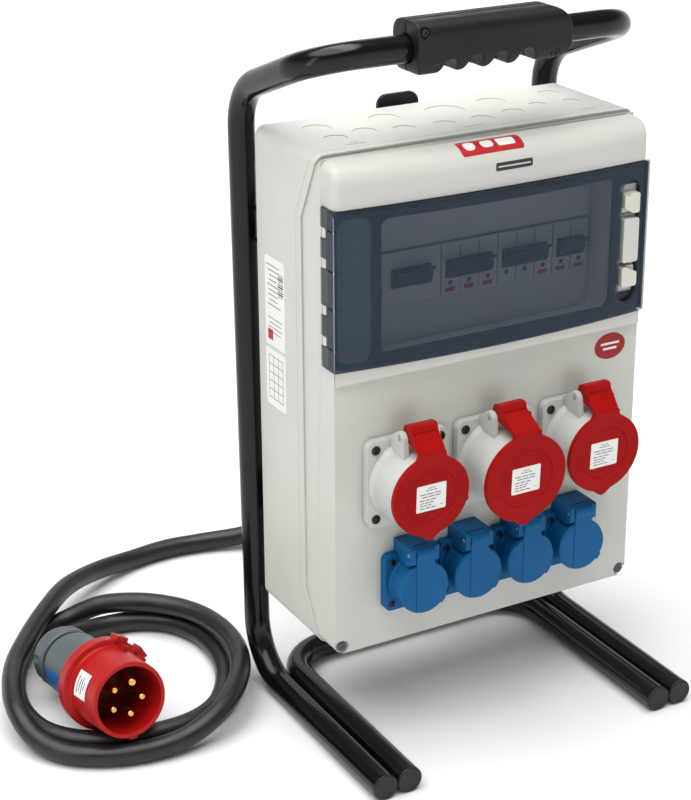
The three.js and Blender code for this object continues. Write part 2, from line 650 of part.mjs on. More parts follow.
// Household sockets, drawn about the socket's centre on the panel.
function householdSocket(x, number) {
  const group = new THREE.Group();
  group.position.set(x, 0, HOUSEHOLD_Z);
  body.add(group);
  const name = `household_${number}`;
  const half = HOUSEHOLD_FLANGE / 2;
  const [pinY, pinZ] = HOUSEHOLD_PIN;
  const ear = outline([
    [-0.3, 20], [pinY + 3, 20], [pinY - 3.5, pinZ - 2], [pinY - 3, pinZ + 2.5], [pinY + 2, pinZ + 6],
    [-0.3, pinZ + 6],
  ]);
  const housing = cut(
    join(
      alongY(roundedRect(-half, half, -half, half, 5), -FLANGE_THICK, -GAP),
      cylinderY(21.5, -24, 32, 0, 0),
      alongX(ear, 8.6, 13),
      alongX(ear, -13, -8.6),
      box(-9, 9, pinY + 7.5, -GAP, 20, pinZ + 6),
    ),
    cylinderY(19.6, -30, 0, 0, 0),
    cylinderY(2.7, -5, 16, -9.5, 0, 8),
    cylinderY(2.7, -5, 16, 9.5, 0, 8),
    cylinderX(1.5, -20, 20, pinY, pinZ, 8),
  );
  place(`${name}_housing`, housing, BLUE_PLASTIC, group);
  place(`${name}_pin`, cylinderX(1.2, -12.9, 12.9, pinY, pinZ, 8), STEEL, group);
  const arm = outline([
    [-29.8, -22], [-29.8, pinZ], [-28, pinZ + 4], [pinY, pinZ + 5.2], [pinY + 3, pinZ + 4],
    [pinY + 3, pinZ - 2], [-26.5, pinZ - 7], [-26, -22],
  ]);
  const lid = cut(
    join(
      cylinderY(22.5, -29, -24.3, 0, 0, 22),
      alongX(arm, -8.2, 8.2),
      box(-11, 11, -29.8, -25.5, -22, pinZ - 7.5),
    ),
    cylinderX(1.6, -20, 20, pinY, pinZ, 8),
  );
  place(`${name}_lid`, lid, BLUE_PLASTIC, group);
}

// Supply lead: gland, cable and plug.
function supplyLead() {
  const inner = CASE_BACK - WALL - GAP;
  const gland = turned(
    [
      [0, inner - 4], [16, inner - 4], [16, inner], [12, inner], [12, CASE_BACK + GAP],
      [16, CASE_BACK + GAP], [16, CASE_BACK + 7], [14.5, CASE_BACK + 7], [14.5, CASE_BACK + 22],
      [11, GLAND.end], [0, GLAND.end],
    ],
    GLAND.x, GLAND.z, 12,
  );
  place("cable_gland", gland, GREY_PLASTIC);
  const route = new THREE.CatmullRomCurve3(
    CABLE_ROUTE.map((point) => new THREE.Vector3(...point)), false, "centripetal",
  );
  route.arcLengthDivisions = 2000;
  const section = ngon(CABLE_R * Math.cos(Math.PI / 8), 8); // its corners lie at the radius
  const cable = new THREE.ExtrudeGeometry(section, { extrudePath: route, steps: 66 });
  place("mains_cable", cable, BLACK_SOFT, object);

  const rear = new THREE.Vector3(...PLUG_REAR);
  const axis = new THREE.Vector3(...PLUG_FRONT).sub(rear);
  const length = axis.length();
  const plug = new THREE.Group();
  plug.position.copy(rear);
  plug.quaternion.setFromUnitVectors(new THREE.Vector3(0, -1, 0), axis.normalize());
  object.add(plug);
  const nut = [[0, 0], [15, 0], [24, -4], [27, -10], [27, -24], [25.5, -26]];
  const shell = [[25.5, -30], [27.5, -34], [27.5, -81], [0, -81]];
  place("plug_body", turned([...nut, ...shell].reverse(), 0, 0), GREY_PLASTIC, plug);
  const collar = turned(
    [
      [0, -81 - GAP], [34, -81 - GAP], [38, -85], [39, -91], [39, -99], [33, -101],
      [32, -length], [28.5, -length], [28.5, -93], [0, -93],
    ].reverse(),
    0, 0, 20,
  );
  place("plug_collar", collar, RED_PLASTIC, plug);
  const pins = [0, 1, 2, 3, 4].map((i) => {
    const angle = PLUG_EARTH + (i * 2 * Math.PI) / 5;
    const [px, pz] = [14 * Math.cos(angle), 14 * Math.sin(angle)];
    return cylinderY(i === 0 ? 3.5 : 2.8, -length + 5, -95, px, pz, 6);
  });
  place("plug_contacts", join(cylinderY(22, -98, -93 - GAP, 0, 0, 16), ...pins), BRASS, plug);
}

stand();
grip();
rails();
rearCase();
frontCover();
door();
latches();
breakers();
INDUSTRIAL.forEach((socket, i) => industrialSocket(socket, i + 1));
HOUSEHOLD_X.forEach((x, i) => householdSocket(x, i + 1));
supplyLead();

export default object;
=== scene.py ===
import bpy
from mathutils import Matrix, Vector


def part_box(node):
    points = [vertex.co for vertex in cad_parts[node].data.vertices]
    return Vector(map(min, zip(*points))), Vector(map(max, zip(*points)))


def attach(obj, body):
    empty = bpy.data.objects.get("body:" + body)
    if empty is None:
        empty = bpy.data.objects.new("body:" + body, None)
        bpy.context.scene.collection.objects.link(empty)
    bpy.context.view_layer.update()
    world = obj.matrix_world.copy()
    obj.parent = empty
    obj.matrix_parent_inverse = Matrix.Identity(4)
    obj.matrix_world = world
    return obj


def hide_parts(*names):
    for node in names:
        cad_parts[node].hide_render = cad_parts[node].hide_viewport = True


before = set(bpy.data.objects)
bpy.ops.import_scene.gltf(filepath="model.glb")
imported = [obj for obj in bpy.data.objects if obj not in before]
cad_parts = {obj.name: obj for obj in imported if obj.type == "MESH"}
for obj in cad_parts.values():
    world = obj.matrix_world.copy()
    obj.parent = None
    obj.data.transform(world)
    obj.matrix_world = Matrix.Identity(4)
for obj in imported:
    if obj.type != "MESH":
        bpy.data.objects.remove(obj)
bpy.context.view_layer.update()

import math

import bmesh
import bpy
from mathutils import Matrix, Vector
from mathutils.bvhtree import BVHTree

MM = 0.001
ROOT = "enclosure_and_stand"
PANEL_Y = -50  # the panel's plane in the frame; the box and the stand are drawn from it, in mm
BODY = Matrix.Translation((0, PANEL_Y, 0))
SCENE = bpy.context.scene


def linked(name, data):
    obj = bpy.data.objects.new(name, data)
    SCENE.collection.objects.link(obj)
    return obj


def discard(obj):
    data = obj.data
    bpy.data.objects.remove(obj)
    bpy.data.meshes.remove(data)


# ---- camera
def make_camera():
    data = bpy.data.cameras.new("camera")
    data.lens = 87.57
    data.shift_x = -0.0037
    data.shift_y = -0.0495
    camera = linked("camera", data)
    azimuth, elevation, roll = math.radians(-29.11), math.radians(21.55), math.radians(-0.28)
    camera.location = (-0.8104, -1.2680, 0.8954)
    back = Vector((
        math.sin(azimuth) * math.cos(elevation),
        -math.cos(azimuth) * math.cos(elevation),
        math.sin(elevation),
    ))
    turn = (-back).to_track_quat("-Z", "Y").to_matrix() @ Matrix.Rotation(roll, 3, "Z")
    camera.rotation_euler = turn.to_euler()
    SCENE.camera = camera


make_camera()


# ---- outlines, in mm
SIDE_SHARE = 0.49  # how much of a side one round corner may take
SHORTEST_REACH = 0.02  # a corner that would be rounded over less than this stays sharp
NEARLY_STRAIGHT = 1.55  # half a corner's angle, in radians, from which it isn't a corner


def fillet(points, radius=0.0, steps=5, closed=True):
    """The outline with round corners. A point may carry its own radius as a third number."""
    out = []
    count = len(points)
    for i, point in enumerate(points):
        here = Vector(point[:2])
        if not closed and i in (0, count - 1):
            out.append(here)
            continue
        to_last = Vector(points[i - 1][:2]) - here
        to_next = Vector(points[(i + 1) % count][:2]) - here
        half = to_last.angle(to_next) / 2
        asked = (point[2] if len(point) > 2 else radius) / math.tan(half)
        reach = min(asked, SIDE_SHARE * to_last.length, SIDE_SHARE * to_next.length)
        if reach < SHORTEST_REACH or half > NEARLY_STRAIGHT:
            out.append(here)
            continue
        to_last.normalize()
        to_next.normalize()
        r = reach * math.tan(half)
        centre = here + (to_last + to_next).normalized() * (r / math.sin(half))
        first = here + to_last * reach - centre
        last = here + to_next * reach - centre
        start = math.atan2(first.y, first.x)
        sweep_angle = (math.atan2(last.y, last.x) - start + math.pi) % (2 * math.pi) - math.pi
        for k in range(steps + 1):
            angle = start + sweep_angle * k / steps
            out.append(centre + Vector((math.cos(angle), math.sin(angle))) * r)
    return out


def rect(x0, x1, z0, z1, radius=0.0, steps=6):
    return fillet([(x0, z0), (x1, z0), (x1, z1), (x0, z1)], radius, steps)


def circle(radius, x=0.0, z=0.0, sides=48):
    angles = [2 * math.pi * i / sides for i in range(sides)]
    return [Vector((x + radius * math.cos(a), z + radius * math.sin(a))) for a in angles]


# ---- meshes
WELD = 1e-7  # in metres, where one shape's own points meet
CLOSE = 4e-6  # in metres, where a boolean leaves points side by side
AXES = {"x": (1, 2, 0), "y": (0, 2, 1), "z": (0, 1, 2)}  # an outline's two coordinates, its depth


def build(verts, faces, at=BODY):
    mesh = bpy.data.meshes.new("shape")
    mesh.from_pydata([(at @ Vector(v)) * MM for v in verts], [], faces)
    bm = bmesh.new()
    bm.from_mesh(mesh)
    bmesh.ops.remove_doubles(bm, verts=bm.verts, dist=WELD)
    bmesh.ops.recalc_face_normals(bm, faces=bm.faces)
    bm.to_mesh(mesh)
    bm.free()
    return linked("shape", mesh)


def prism(shape, axis, low, high, at=BODY):
    """A prism along x from a (y, z) outline, along y from (x, z), or along z from (x, y)."""
    first, second, third = AXES[axis]
    verts = []
    for level in (low, high):
        for point in shape:
            v = [0.0, 0.0, 0.0]
            v[first], v[second], v[third] = point[0], point[1], level
            verts.append(v)
    n = len(shape)
    sides = [(i, (i + 1) % n, n + (i + 1) % n, n + i) for i in range(n)]
    return build(verts, [tuple(range(n)), tuple(range(n, 2 * n)), *sides], at)


def block(x0, x1, y0, y1, z0, z1, at=BODY):
    return prism(rect(x0, x1, z0, z1), "y", y0, y1, at)


def lathe(profile, at=BODY, x=0.0, z=0.0, steps=64):
    """A solid of revolution about Y through (x, z), from (radius, y) points, or a ring if none of
    them is on the axis."""
    ring = profile[0][0] > 0 and profile[-1][0] > 0
    verts, rows = [], []
    for radius, y in profile:
        row = []
        for k in range(steps if radius > 0 else 1):
            angle = 2 * math.pi * k / steps
            row.append(len(verts))
            verts.append((x + radius * math.cos(angle), y, z + radius * math.sin(angle)))
        rows.append(row)
    faces = []
    pairs = list(zip(rows, rows[1:] + (rows[:1] if ring else [])))
    for low, high in pairs[:len(rows) - (0 if ring else 1)]:
        for k in range(steps):
            nxt = (k + 1) % steps
            face = list(dict.fromkeys([
                low[k % len(low)], low[nxt % len(low)], high[nxt % len(high)], high[k % len(high)],
            ]))
            if len(face) > 2:
                faces.append(face)
    return build(verts, faces, at)


def turned(profile, corner_steps, at=BODY, x=0.0, z=0.0, steps=64):
    """A lathe shape whose profile has round corners."""
    return lathe(fillet(profile, 0.0, corner_steps, False), at, x, z, steps)


def sweep(points, radius, at=BODY, sides=32):
    """A closed tube along a line of points; the radius may be a function of the way along it."""
    points = [Vector(p) for p in points]
    tangents = []
    for i in range(len(points)):
        ahead = points[min(i + 1, len(points) - 1)] - points[i]
        behind = points[i] - points[max(i - 1, 0)]
        tangents.append((ahead.normalized() + behind.normalized()).normalized())
    normal = tangents[0].orthogonal().normalized()
    verts = []
    for i, (point, tangent) in enumerate(zip(points, tangents)):
        if i:
            normal = tangents[i - 1].rotation_difference(tangent) @ normal
        side = tangent.cross(normal).normalized()
        size = radius(i / (len(points) - 1)) if callable(radius) else radius
        for k in range(sides):
            angle = 2 * math.pi * k / sides
            verts.append(point + (normal * math.cos(angle) + side * math.sin(angle)) * size)
    faces = []
    for i in range(len(points) - 1):
        for k in range(sides):
            a, b = i * sides + k, i * sides + (k + 1) % sides
            faces.append((a, b, b + sides, a + sides))
    last = (len(points) - 1) * sides
    faces += [tuple(range(sides)), tuple(range(last, last + sides))]
    return build(verts, faces, at)


def bake(obj):
    """Applies the modifiers."""
    graph = bpy.context.evaluated_depsgraph_get()
    mesh = bpy.data.meshes.new_from_object(obj.evaluated_get(graph))
    old = obj.data
    obj.modifiers.clear()
    obj.data = mesh
    bpy.data.meshes.remove(old)
    return obj


def combine(obj, operation, tools):
    for tool in tools:
        modifier = obj.modifiers.new("combine", "BOOLEAN")
        modifier.operation = operation
        modifier.solver = "EXACT"
        modifier.object = tool
    bake(obj)
    for tool in tools:
        discard(tool)
    return obj


def cut(obj, *tools):
    return combine(obj, "DIFFERENCE", tools)


def join(obj, *tools):
    return combine(obj, "UNION", tools)


def gather(*objs):
    """Several separate closed shapes as one piece."""
    bm = bmesh.new()
    for obj in objs:
        bm.from_mesh(obj.data)
    bm.to_mesh(objs[0].data)
    bm.free()
    for obj in objs[1:]:
        discard(obj)
    return objs[0]


def tidy_faces(obj, angle=0.6):
    """Welds close points and merges faces that lie within an angle, in degrees, of one plane."""
    bm = bmesh.new()
    bm.from_mesh(obj.data)
    bmesh.ops.remove_doubles(bm, verts=bm.verts, dist=CLOSE)
    bmesh.ops.dissolve_limit(
        bm, angle_limit=math.radians(angle), verts=bm.verts, edges=bm.edges,
    )
    bmesh.ops.recalc_face_normals(bm, faces=bm.faces)
    bm.to_mesh(obj.data)
    bm.free()
    return obj


def soften(obj, bevel, segments=2, angle=40):
    """Rounds the edges and shades what is left of them smoothly."""
    if bevel:
        modifier = obj.modifiers.new("edges", "BEVEL")
        modifier.width = bevel * MM
        modifier.segments = segments
        modifier.limit_method = "ANGLE"
        modifier.angle_limit = math.radians(angle)
        modifier.use_clamp_overlap = True
        modifier.miter_outer = "MITER_ARC"
        bake(obj)
    obj.data.shade_smooth()
    obj.data.set_sharp_from_angle(angle=math.radians(angle))
    modifier = obj.modifiers.new("normals", "WEIGHTED_NORMAL")
    modifier.keep_sharp = True
    return obj


def piece(obj, name, look, body=ROOT, nodes=(), bevel=0.0, segments=2, angle=40, slot=None):
    slot = slot or SLOTS[look.name]
    soften(obj, bevel, segments, angle)
    obj.name = name
    obj.data.name = name
    obj.data.materials.clear()
    obj.data.materials.append(look)
    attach(obj, body)
    if nodes:
        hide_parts(*nodes)
    return obj


def refined(node, look, bevel, body=ROOT, changes=None, slot=None):
    """A CAD node's own shape with clean faces, the changes asked for, and round edges."""
    bm = bmesh.new()
    bm.from_mesh(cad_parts[node].data)
    mesh = bpy.data.meshes.new(node)
    bm.to_mesh(mesh)
    bm.free()
    obj = linked(node + "_shape", mesh)
    for attribute in [a for a in mesh.attributes if a.name == "custom_normal"]:
        mesh.attributes.remove(attribute)
    tidy_faces(obj)
    if changes:
        changes(obj)
    return piece(obj, node + "_skin", look, body, [node], bevel, slot=slot)


# ---- materials
def srgb(code):
    parts = [int(code[i:i + 2], 16) / 255 for i in (0, 2, 4)]
    return tuple(c / 12.92 if c <= 0.04045 else ((c + 0.055) / 1.055) ** 2.4 for c in parts)


DUST = (0.42, 0.41, 0.38)
# painted crease shade: how dark it makes the colour, and how far the occlusion looks
PAINTED_CREASE_DARKNESS = 0.45  # how dark a crease is, against the colour
CREASE_REACH = 0.006
GRAIN_DEPTH = 0.0004
SLOTS = {}  # each look's material slot in the record


def look_of(
    name, slot, code, roughness, metallic=0.0, mottle=0.05, mottle_scale=20.0, spread=0.06,
    grain=0.1, grain_scale=1500.0, dust=0.0, painted_crease_shade=0.0, streak=None, alpha=1.0, specular=0.5,
):
    """A node material in object coordinates: mottled colour, uneven gloss, a moulded or sprayed
    grain, a little dust on what faces up and painted shade in the creases."""
    colour = srgb(code)
    material = bpy.data.materials.new(name)
    SLOTS[material.name] = slot
    material.use_nodes = True
    tree = material.node_tree
    nodes, links = tree.nodes, tree.links
    shader = nodes["Principled BSDF"]
    shader.inputs["Metallic"].default_value = metallic
    shader.inputs["Specular IOR Level"].default_value = specular
    shader.inputs["Alpha"].default_value = alpha
    place = nodes.new("ShaderNodeTexCoord").outputs["Object"]

    def noise(scale, detail=3.0, stretch=None):
        source = place
        if stretch:
            mapping = nodes.new("ShaderNodeMapping")
            mapping.inputs["Scale"].default_value = stretch
            links.new(place, mapping.inputs["Vector"])
            source = mapping.outputs["Vector"]
        node = nodes.new("ShaderNodeTexNoise")
        node.inputs["Scale"].default_value = scale
        node.inputs["Detail"].default_value = detail
        links.new(source, node.inputs["Vector"])
        return node.outputs["Fac"]

    def blend(factor, a, b):
        node = nodes.new("ShaderNodeMix")
        node.data_type = "RGBA"
        for value, socket in ((factor, node.inputs[0]), (a, node.inputs[6]), (b, node.inputs[7])):
            if hasattr(value, "links"):
                links.new(value, socket)
            else:
                socket.default_value = value if isinstance(value, float) else (*value, 1.0)
        return node.outputs[2]

    def ramp(source, low, high, out_low, out_high):
        node = nodes.new("ShaderNodeMapRange")
        for socket, value in zip(node.inputs[1:5], (low, high, out_low, out_high)):
            socket.default_value = value
        links.new(source, node.inputs[0])
        return node.outputs[0]

    dark = tuple(c * (1 - mottle) for c in colour)
    light = tuple(min(1.0, c * (1 + mottle) + 0.002) for c in colour)
    shade = blend(ramp(noise(mottle_scale, 5.0), 0.35, 0.65, 0.0, 1.0), dark, light)
    shade = blend(ramp(noise(mottle_scale * 14, 2.0), 0.3, 0.7, 0.0, 0.35), shade, light)
    if dust:
        up = nodes.new("ShaderNodeSeparateXYZ")
        links.new(nodes.new("ShaderNodeNewGeometry").outputs["Normal"], up.inputs[0])
        facing = ramp(up.outputs["Z"], 0.55, 1.0, 0.0, dust)
        spots = nodes.new("ShaderNodeMath")
        spots.operation = "MULTIPLY"
        links.new(facing, spots.inputs[0])
        links.new(ramp(noise(160.0, 4.0), 0.42, 0.7, 0.2, 1.0), spots.inputs[1])
        shade = blend(spots.outputs[0], shade, DUST)
    # painted shade: an ambient occlusion mask darkens the colour in creases and corners
    if painted_crease_shade:
        corner = nodes.new("ShaderNodeAmbientOcclusion")
        corner.samples = 4
        corner.inputs["Distance"].default_value = CREASE_REACH
        shade = blend(
            ramp(corner.outputs["AO"], 0.25, 0.85, painted_crease_shade, 0.0), shade,
            tuple(c * PAINTED_CREASE_DARKNESS for c in colour),
        )
    links.new(shade, shader.inputs["Base Color"])
    gloss = ramp(noise(70.0, 4.0), 0.3, 0.7, roughness - spread, roughness + spread)
    links.new(gloss, shader.inputs["Roughness"])
    bump = nodes.new("ShaderNodeBump")
    bump.inputs["Strength"].default_value = grain
    bump.inputs["Distance"].default_value = GRAIN_DEPTH
    links.new(noise(grain_scale, 2.0, streak), bump.inputs["Height"])
    links.new(bump.outputs["Normal"], shader.inputs["Normal"])
    return material


CASE = look_of(
    "case_plastic", "light_grey_plastic", "C4C5BE", 0.44, mottle=0.02, grain=0.12,
    grain_scale=2600, dust=0.04, painted_crease_shade=0.5, specular=0.35,
)
SOCKET_GREY = look_of(
    "socket_plastic", "light_grey_plastic", "C0C1BD", 0.38, mottle=0.02, grain=0.08,
    grain_scale=2600, painted_crease_shade=0.5, specular=0.4,
)
TUBE = look_of(
    "black_powder_coat", "black_tube", "060607", 0.17, mottle=0.15, grain=0.08, grain_scale=1100,
    spread=0.03, specular=0.33,
)
MATTE = look_of(
    "matte_black", "black_plastic", "090909", 0.46, mottle=0.15, grain=0.3, grain_scale=2600,
    dust=0.008, specular=0.32,
)
CAP = look_of(
    "cap_black", "black_plastic", "0E0E10", 0.42, mottle=0.15, grain=0.15, grain_scale=2000,
    specular=0.4,
)
RUBBER = look_of(
    "cable_rubber", "cable_rubber", "121213", 0.38, mottle=0.16, mottle_scale=45, grain=0.22,
    grain_scale=900, dust=0.02, specular=0.45,
)
GASKET = look_of("gasket", "gasket_rubber", "151515", 0.7, mottle=0.1, grain=0.3, specular=0.3)
RED = look_of(
    "lid_red", "red_plastic", "980B0B", 0.38, mottle=0.06, grain=0.06, grain_scale=2200,
    painted_crease_shade=0.45, specular=0.06,
)
PLUG_RED = look_of(
    "plug_red", "red_plastic", "A01210", 0.36, mottle=0.05, grain=0.06, painted_crease_shade=0.35, specular=0.2,
)
DARK_RED = look_of(
    "plug_dark_red", "red_plastic", "4A0D0C", 0.45, mottle=0.06, grain=0.1, specular=0.2,
)
BLUE = look_of(
    "socket_blue", "blue_plastic", "10578A", 0.38, mottle=0.06, grain=0.08, grain_scale=2200,
    painted_crease_shade=0.4, specular=0.12,
)
GREY = look_of(
    "plug_grey", "grey_plastic", "4A5457", 0.45, mottle=0.06, grain=0.14, painted_crease_shade=0.45,
    specular=0.35,
)
CLIP = look_of("clip_plastic", "clip_plastic", "CDCCC0", 0.42, mottle=0.04, grain=0.08, painted_crease_shade=0.5)
STEEL = look_of(
    "steel", "steel", "C9CACB", 0.25, metallic=1.0, mottle=0.08, grain=0.2, grain_scale=900,
    streak=(0.1, 1.0, 1.0),
)
SCREW = look_of("screw_black", "steel", "0B0B0C", 0.32, mottle=0.15, grain=0.15, specular=0.4)
BRASS = look_of(
    "brass", "brass", "E0A45C", 0.24, metallic=1.0, mottle=0.1, mottle_scale=90, grain=0.15,
    grain_scale=1200,
)
MODULE = look_of(
    "module_plastic", "light_grey_plastic", "C9CBC8", 0.45, mottle=0.03, grain=0.08, painted_crease_shade=0.5,
)
DARK = look_of(
    "dark_plastic", "dark_plastic", "131517", 0.4, mottle=0.1, grain=0.12, specular=0.35,
)
PAPER = look_of(
    "label_white", "light_grey_plastic", "E2E2E0", 0.4, mottle=0.02, grain=0.04, grain_scale=700,
)
INK = look_of("label_ink", "dark_plastic", "2F3134", 0.5, mottle=0.1, grain=0.05, specular=0.3)
RED_INK = look_of(
    "label_red", "red_plastic", "B01E22", 0.4, mottle=0.05, grain=0.04, specular=0.25,
)
OVAL_INK = look_of(
    "label_dark_red", "red_plastic", "951A1C", 0.4, mottle=0.05, grain=0.04, specular=0.25,
)
BLUE_INK = look_of(
    "label_blue", "blue_plastic", "235C9E", 0.4, mottle=0.05, grain=0.04, specular=0.25,
)
SMOKED = look_of(
    "smoked_clear", "smoked_clear", "2C3C4B", 0.1, mottle=0.06, spread=0.03, grain=0.02,
    grain_scale=300, specular=0.22, alpha=0.42,
)
SMOKED_FRAME = look_of(
    "smoked_frame", "smoked_clear", "68747E", 0.2, mottle=0.12, mottle_scale=14, spread=0.04,
    grain=0.04, grain_scale=600, specular=0.3,
)
# painted highlight: a light colour for the strip that stands for the shine along the door's left
# front edge
EDGE_HIGHLIGHT_PAINT = look_of(
    "painted_edge_highlight", "smoked_clear", "C9D3DB", 0.15, mottle=0.15, mottle_scale=30, spread=0.04,
    grain=0.04, specular=0.6,
)
# painted shade: a dark tint for sheets behind the door's border and edges, where the recess and
# gaps behind are in shade
DOOR_SHADE_PAINT = look_of(
    "painted_door_shade", "smoked_clear", "2A3036", 0.2, mottle=0.12, mottle_scale=14, spread=0.04,
    grain=0.04, grain_scale=600, specular=0.2,
)
# painted shade: a near-black tint for sheets behind the door round its window and latches
DEEP_SHADE_PAINT = look_of(
    "painted_deep_shade", "smoked_clear", "090B0E", 0.22, mottle=0.1, spread=0.04, grain=0.04,
    grain_scale=600, specular=0.3,
)


# ---- stickers
STICKER_THICK = 0.18
STICKER_SUNK = 0.02  # how far a sticker's underside is in what it lies on
LOOK_FROM = 30  # how far outside the target the rays start


def on_surface(target, centre, axis, sign, size, radius, lift, cells):
    """A thin sticker, a rectangle with round corners, laid on the target along an axis from
    outside, as a closed skin that follows the surface. The radius may be a pair, for an oval."""
    tree = BVHTree.FromObject(target, bpy.context.evaluated_depsgraph_get())
    centre_a, centre_b, centre_c = centre
    radius_a, radius_b = radius if isinstance(radius, tuple) else (radius, radius)
    first, second, third = AXES[axis]
    half_a, half_b = size[0] / 2, size[1] / 2
    columns, rows = cells
    verts = []
    for i in range(columns + 1):
        for j in range(rows + 1):
            a = half_a * math.sin(math.pi * (i / columns - 0.5))
            b = half_b * math.sin(math.pi * (j / rows - 0.5))
            over_a = abs(a) - (half_a - radius_a)
            over_b = abs(b) - (half_b - radius_b)
            if over_a > 0 and over_b > 0:
                qa, qb = over_a / radius_a, over_b / radius_b
                over_a = radius_a * qa * math.sqrt(1 - qb * qb / 2)
                over_b = radius_b * qb * math.sqrt(1 - qa * qa / 2)
                a = math.copysign(half_a - radius_a + over_a, a)
                b = math.copysign(half_b - radius_b + over_b, b)
            start = Vector((0, 0, 0))
            start[first], start[second] = centre_a + a, centre_b + b
            start[third] = centre_c + LOOK_FROM * sign
            way = Vector((0, 0, 0))
            way[third] = -sign
            hit, normal = tree.ray_cast((BODY @ start) * MM, way)[:2]
            if hit is None:
                hit = (BODY @ (start + way * LOOK_FROM)) * MM
                normal = -way
            if normal.dot(way) > 0:
                normal = -normal
            verts.append((hit, normal))
    heights = (lift + STICKER_THICK, lift - STICKER_SUNK)
    top, under = [[BODY.inverted() @ ((p + n * height * MM) / MM) for p, n in verts]
                  for height in heights]
    count = len(top)
    faces = []
    for i in range(columns):
        for j in range(rows):
            a, b = i * (rows + 1) + j, (i + 1) * (rows + 1) + j
            faces.append((a, b, b + 1, a + 1))
            faces.append((a + count, a + 1 + count, b + 1 + count, b + count))
    rim = [i * (rows + 1) for i in range(columns + 1)]
    rim += [columns * (rows + 1) + j for j in range(1, rows + 1)]
    rim += [i * (rows + 1) + rows for i in range(columns - 1, -1, -1)]
    rim += list(range(rows - 1, 0, -1))
    for a, b in zip(rim, rim[1:] + rim[:1]):
        faces.append((a, b, b + count, a + count))
    return build(top + under, faces)


# ---- supply lead
CABLE_R = 9.0
GLAND_X, GLAND_Z = 60, 117
CASE_BACK = 124.5  # the rear wall's outer face, from the panel's plane
ROUTE = [
    (60, 112.3, 117), (60, 145, 117), (57, 185, 109), (44, 222, 91), (22, 257, 64), (-8, 288, 36),
    (-46, 316, 15), (-87, 332, 9.6), (-125, 337, 9.6), (-165, 332, 10), (-208, 314, 17),
    (-253, 281, 26), (-292, 239, 28.2), (-323, 200, 28.2), (-347, 164, 28.2), (-362, 128, 28.2),
    (-369, 96, 25), (-365, 68, 15), (-350, 43, 9.6), (-323, 22.5, 9.6), (-289, 11.5, 9.6),
    (-252, 9, 14), (-219, 17, 24), (-192, 42, 28.2), (-173, 73, 28.2), (-163, 106, 28.2),
    (-162, 140, 28.2), (-170, 173, 28.2), (-187, 199, 28.2), (-211, 219, 28.2), (-238, 238, 23),
    (-264, 248, 12), (-291, 241, 9.6), (-316, 218, 9.6), (-337, 186, 9.6), (-351, 152, 9.6),
    (-357, 118, 9.6), (-353, 84, 9.6), (-337, 58.5, 9.6), (-310, 40.5, 9.6), (-275, 32.5, 9.6),
    (-239, 33, 9.6), (-211, 46, 9.6), (-190, 71, 9.6), (-175, 103, 9.6), (-168.5, 138, 9.6),
    (-172, 173, 9.6), (-188, 202, 9.6), (-213, 218, 9.6), (-242, 222, 10), (-270, 216, 13),
    (-292, 202, 20), (-305, 186, 27), (-308.5, 172.3, 29.9), (-307.83, 160.5, 31.92),
]


def smooth_route(points, per_span=10):
    """A centripetal Catmull-Rom line through the points."""
    points = [Vector(p) for p in points]
    points = [2 * points[0] - points[1], *points, 2 * points[-1] - points[-2]]
    line = []
    for i in range(1, len(points) - 2):
        p = points[i - 1:i + 3]
        t = [0.0]
        for a, b in zip(p, p[1:]):
            t.append(t[-1] + (b - a).length ** 0.5)
        for k in range(per_span):
            u = t[1] + (t[2] - t[1]) * k / per_span
            a = [p[j].lerp(p[j + 1], (u - t[j]) / (t[j + 1] - t[j])) for j in range(3)]
            b = [a[j].lerp(a[j + 1], (u - t[j]) / (t[j + 2] - t[j])) for j in range(2)]
            line.append(b[0].lerp(b[1], (u - t[1]) / (t[2] - t[1])))
    return [*line, points[-2]]


PLUG_REAR = Vector((-307.8, 160, 32))
PLUG_AXIS = Vector((-299, 19, 56)) - PLUG_REAR
PLUG_LENGTH = PLUG_AXIS.length  # along the plug's own axis, which runs to -Y in the PLUG matrix
PLUG_R = 27.5  # the plug's grey body
SHROUD_R = 33  # its red shroud, without the collar
FIRST_PIN = 62  # degrees, and the key's side
PLUG = Matrix.Translation(PLUG_REAR) @ Vector((0, -1, 0)).rotation_difference(
    PLUG_AXIS
).to_matrix().to_4x4()


